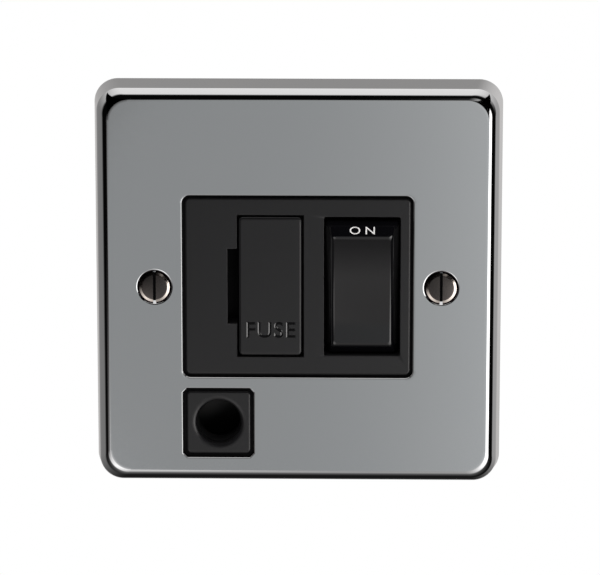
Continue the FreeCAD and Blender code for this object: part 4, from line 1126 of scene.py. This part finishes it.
# Studio
# A pale floor far below the unit, and a surround whose light changes with the angle from the
# front. Lights and dark panels take turns in it, above, below and at both sides, as round any
# mirror finish, and draw the lines along the unit's edges.
FLOOR_Z = -1.1
FLOOR_HALF = 0.9
FLOOR_SHADE = (0.93, 0.93, 0.93, 1.0)
FLOOR_ROUGHNESS = 0.9
WHITE = (1.0, 1.0, 1.0, 1.0)
DARK = 0.005
ABOVE = [(0, 0.95), (5, 0.85), (9, DARK), (50, DARK)]
ABOVE += [(60, 2.5), (142, 2.6), (150, 0.64), (180, 0.6)]
BELOW = [(0, 0.95), (10, 1.0), (20, 1.12), (30, 0.5), (40, 0.2)]
BELOW += [(56, 0.03), (100, 0.03), (140, 0.5), (180, 0.7)]
LEFT = [(0, 0.95), (5, 1.0), (8, 0.5), (13, DARK), (46, DARK), (58, 0.62), (180, 0.75)]
RIGHT = [(0, 0.95), (4, 3.2), (12, 7.0), (26, 7.0)]
RIGHT += [(32, DARK), (66, DARK), (74, 1.15), (180, 1.1)]
FRONT_LEFT = (-0.085, 0.88)
FRONT_RIGHT = (0.040, 1.34)
FRONT_CURVE = 3.6
FRONT_EDGE = (4.6, 7.0)
FRONT_TINT = (0.98, 1.0, 1.01, 1.0)
AROUND_TINT = (1.0, 0.975, 0.965, 1.0)
GAP_REACH = 115.0
GAP_CURVE = 2.0
GAP_EDGE = 6.0
CORNER_LIGHT = 3.2
CORNER_CURVE = 0.7
CORNER_START = (4.0, 8.0)
CORNER_END = (20.0, 28.0)
VIEW_DISTANCE = 0.75
VIEW_UP = math.radians(12.0)
VIEW_SIDE = math.radians(1.2)
PIXELS_PER_MM = 4.757
PICTURE_WIDTH = 600
SENSOR = 36.0
AIM = Vector((0.473 * MM, FACE_Y, 0.0))
AXIS_GUARD = 1e-6
NUMBER_INPUTS = (2, 3)

floor_mesh = bpy.data.meshes.new("studio_floor")
floor_corners = rectangle(-FLOOR_HALF, FLOOR_HALF, -FLOOR_HALF, FLOOR_HALF)
floor_face = range(len(floor_corners))
floor_mesh.from_pydata([(x, y, FLOOR_Z) for x, y in floor_corners], [], [floor_face])
floor = bpy.data.objects.new("studio_floor", floor_mesh)
bpy.context.collection.objects.link(floor)
floor_paint = bpy.data.materials.new("pale floor")
floor_paint.use_nodes = True
tree = floor_paint.node_tree
paint = tree.nodes["Principled BSDF"]
paint.inputs["Base Color"].default_value = FLOOR_SHADE
paint.inputs["Roughness"].default_value = FLOOR_ROUGHNESS
path = tree.nodes.new("ShaderNodeLightPath")
clear = tree.nodes.new("ShaderNodeBsdfTransparent")
choice = tree.nodes.new("ShaderNodeMixShader")
tree.links.new(path.outputs["Is Glossy Ray"], choice.inputs["Fac"])
tree.links.new(paint.outputs["BSDF"], choice.inputs[1])
tree.links.new(clear.outputs["BSDF"], choice.inputs[2])
tree.links.new(choice.outputs["Shader"], tree.nodes["Material Output"].inputs["Surface"])
floor_mesh.materials.append(floor_paint)

world = bpy.data.worlds.new("studio")
bpy.context.scene.world = world
world.use_nodes = True
sky = world.node_tree
sky.nodes.clear()


def sky_math(operation, first, second=0.0):
    """One sum of the surround."""
    made = sky.nodes.new("ShaderNodeMath")
    made.operation = operation
    feed(made.inputs[0], first)
    feed(made.inputs[1], second)
    return made.outputs[0]


def sky_product(first, *others):
    """Values of the surround multiplied together."""
    for other in others:
        first = sky_math("MULTIPLY", first, other)
    return first


def sky_mix(share, first, second):
    """One value or the other, by a share."""
    made = sky.nodes.new("ShaderNodeMix")
    feed(made.inputs[0], share)
    for place, number in zip(NUMBER_INPUTS, (first, second)):
        feed(made.inputs[place], number)
    return made.outputs[0]


def sky_range(value, low, high, start, end):
    """A value carried from one range to another, smoothly."""
    made = sky.nodes.new("ShaderNodeMapRange")
    made.interpolation_type = "SMOOTHSTEP"
    for target, given in zip(made.inputs, (value, low, high, start, end)):
        feed(target, given)
    return made.outputs[0]


def sky_ramp(value, stops):
    """Brightness along an angle, from degrees and strengths."""
    limit = stops[-1][0]
    peak = max(strength for angle, strength in stops)
    made = sky.nodes.new("ShaderNodeValToRGB")
    elements = made.color_ramp.elements
    while len(elements) < len(stops):
        elements.new(1.0)
    for element, (angle, strength) in zip(elements, stops):
        element.position = angle / limit
        element.color = (strength / peak, strength / peak, strength / peak, 1.0)
    feed(made.inputs[0], sky_math("DIVIDE", value, limit))
    return sky_math("MULTIPLY", made.outputs[0], peak)


directions = sky.nodes.new("ShaderNodeTexCoord")
turned = sky.nodes.new("ShaderNodeVectorRotate")
turned.rotation_type = "X_AXIS"
feed(turned.inputs["Vector"], directions.outputs["Generated"])
feed(turned.inputs["Angle"], -VIEW_UP)
parts = sky.nodes.new("ShaderNodeSeparateXYZ")
feed(parts.inputs[0], turned.outputs[0])
side_part, front_part, up_part = parts.outputs
from_front = sky_math("ARCCOSINE", sky_math("MULTIPLY", front_part, -1.0))
from_front = sky_math("MULTIPLY", from_front, math.degrees(1))
across_square = sky_math("MULTIPLY", side_part, side_part)
up_square = sky_math("MULTIPLY", up_part, up_part)
spread = sky_math("ADD", sky_math("ADD", across_square, up_square), AXIS_GUARD)
is_above = sky_math("GREATER_THAN", up_part, 0.0)
is_right = sky_math("GREATER_THAN", side_part, 0.0)
upright = sky_mix(is_above, sky_ramp(from_front, BELOW), sky_ramp(from_front, ABOVE))
sideways = sky_mix(is_right, sky_ramp(from_front, LEFT), sky_ramp(from_front, RIGHT))
upright = sky_math("MULTIPLY", upright, sky_math("DIVIDE", up_square, spread))
sideways = sky_math("MULTIPLY", sideways, sky_math("DIVIDE", across_square, spread))
around = sky_math("ADD", upright, sideways)

# Between the overhead light and the side lights lies a dark wedge, widest on the diagonals.
# One more light stands at the lower left.
slant = sky_math("DIVIDE", sky_math("SUBTRACT", up_square, across_square), spread)
diagonal = sky_math("SUBTRACT", 1.0, sky_math("ABSOLUTE", slant))
gap = sky_product(sky_math("POWER", diagonal, GAP_CURVE), GAP_REACH, is_above)
past_gap = sky_range(sky_math("SUBTRACT", from_front, gap), 0.0, GAP_EDGE, 0.0, 1.0)
corner = sky_product(
    sky_math("LESS_THAN", up_part, 0.0),
    sky_math("LESS_THAN", side_part, 0.0),
    sky_math("POWER", diagonal, CORNER_CURVE),
    sky_range(from_front, *CORNER_START, 0.0, CORNER_LIGHT),
    sky_range(from_front, *CORNER_END, 1.0, 0.0),
)
around = sky_math("ADD", sky_math("MULTIPLY", around, past_gap), corner)

# What the plate's flat face mirrors: a screen round the camera, brighter to the right.
screen_width = FRONT_RIGHT[0] - FRONT_LEFT[0]
screen_gain = FRONT_RIGHT[1] - FRONT_LEFT[1]
rise = sky_math("DIVIDE", sky_math("SUBTRACT", side_part, FRONT_LEFT[0]), screen_width)
rise = sky_math("POWER", sky_math("MAXIMUM", rise, 0.0), FRONT_CURVE)
ahead = sky_math("ADD", FRONT_LEFT[1], sky_math("MULTIPLY", rise, screen_gain))
is_front = sky_range(from_front, *FRONT_EDGE, 1.0, 0.0)
surround = sky_mix(is_front, around, ahead)
seen = sky.nodes.new("ShaderNodeLightPath")
by_camera = seen.outputs["Is Camera Ray"]
tint = mixed_colour(sky, is_front, AROUND_TINT, FRONT_TINT)
background = sky.nodes.new("ShaderNodeBackground")
feed(background.inputs["Color"], mixed_colour(sky, by_camera, tint, WHITE))
feed(background.inputs["Strength"], sky_mix(by_camera, surround, 1.0))
sky_output = sky.nodes.new("ShaderNodeOutputWorld")
feed(sky_output.inputs["Surface"], background.outputs[0])

camera_data = bpy.data.cameras.new("camera")
camera_data.sensor_width = SENSOR
camera_data.lens = PIXELS_PER_MM * (VIEW_DISTANCE / MM) * SENSOR / PICTURE_WIDTH
camera = bpy.data.objects.new("camera", camera_data)
bpy.context.collection.objects.link(camera)
level = math.cos(VIEW_UP)
towards = Vector((math.sin(VIEW_SIDE) * level, -math.cos(VIEW_SIDE) * level, math.sin(VIEW_UP)))
camera.location = AIM + towards * VIEW_DISTANCE
camera.rotation_euler = (-towards).to_track_quat("-Z", "Y").to_euler()
bpy.context.scene.camera = camera
bpy.context.scene.view_settings.view_transform = "Standard"
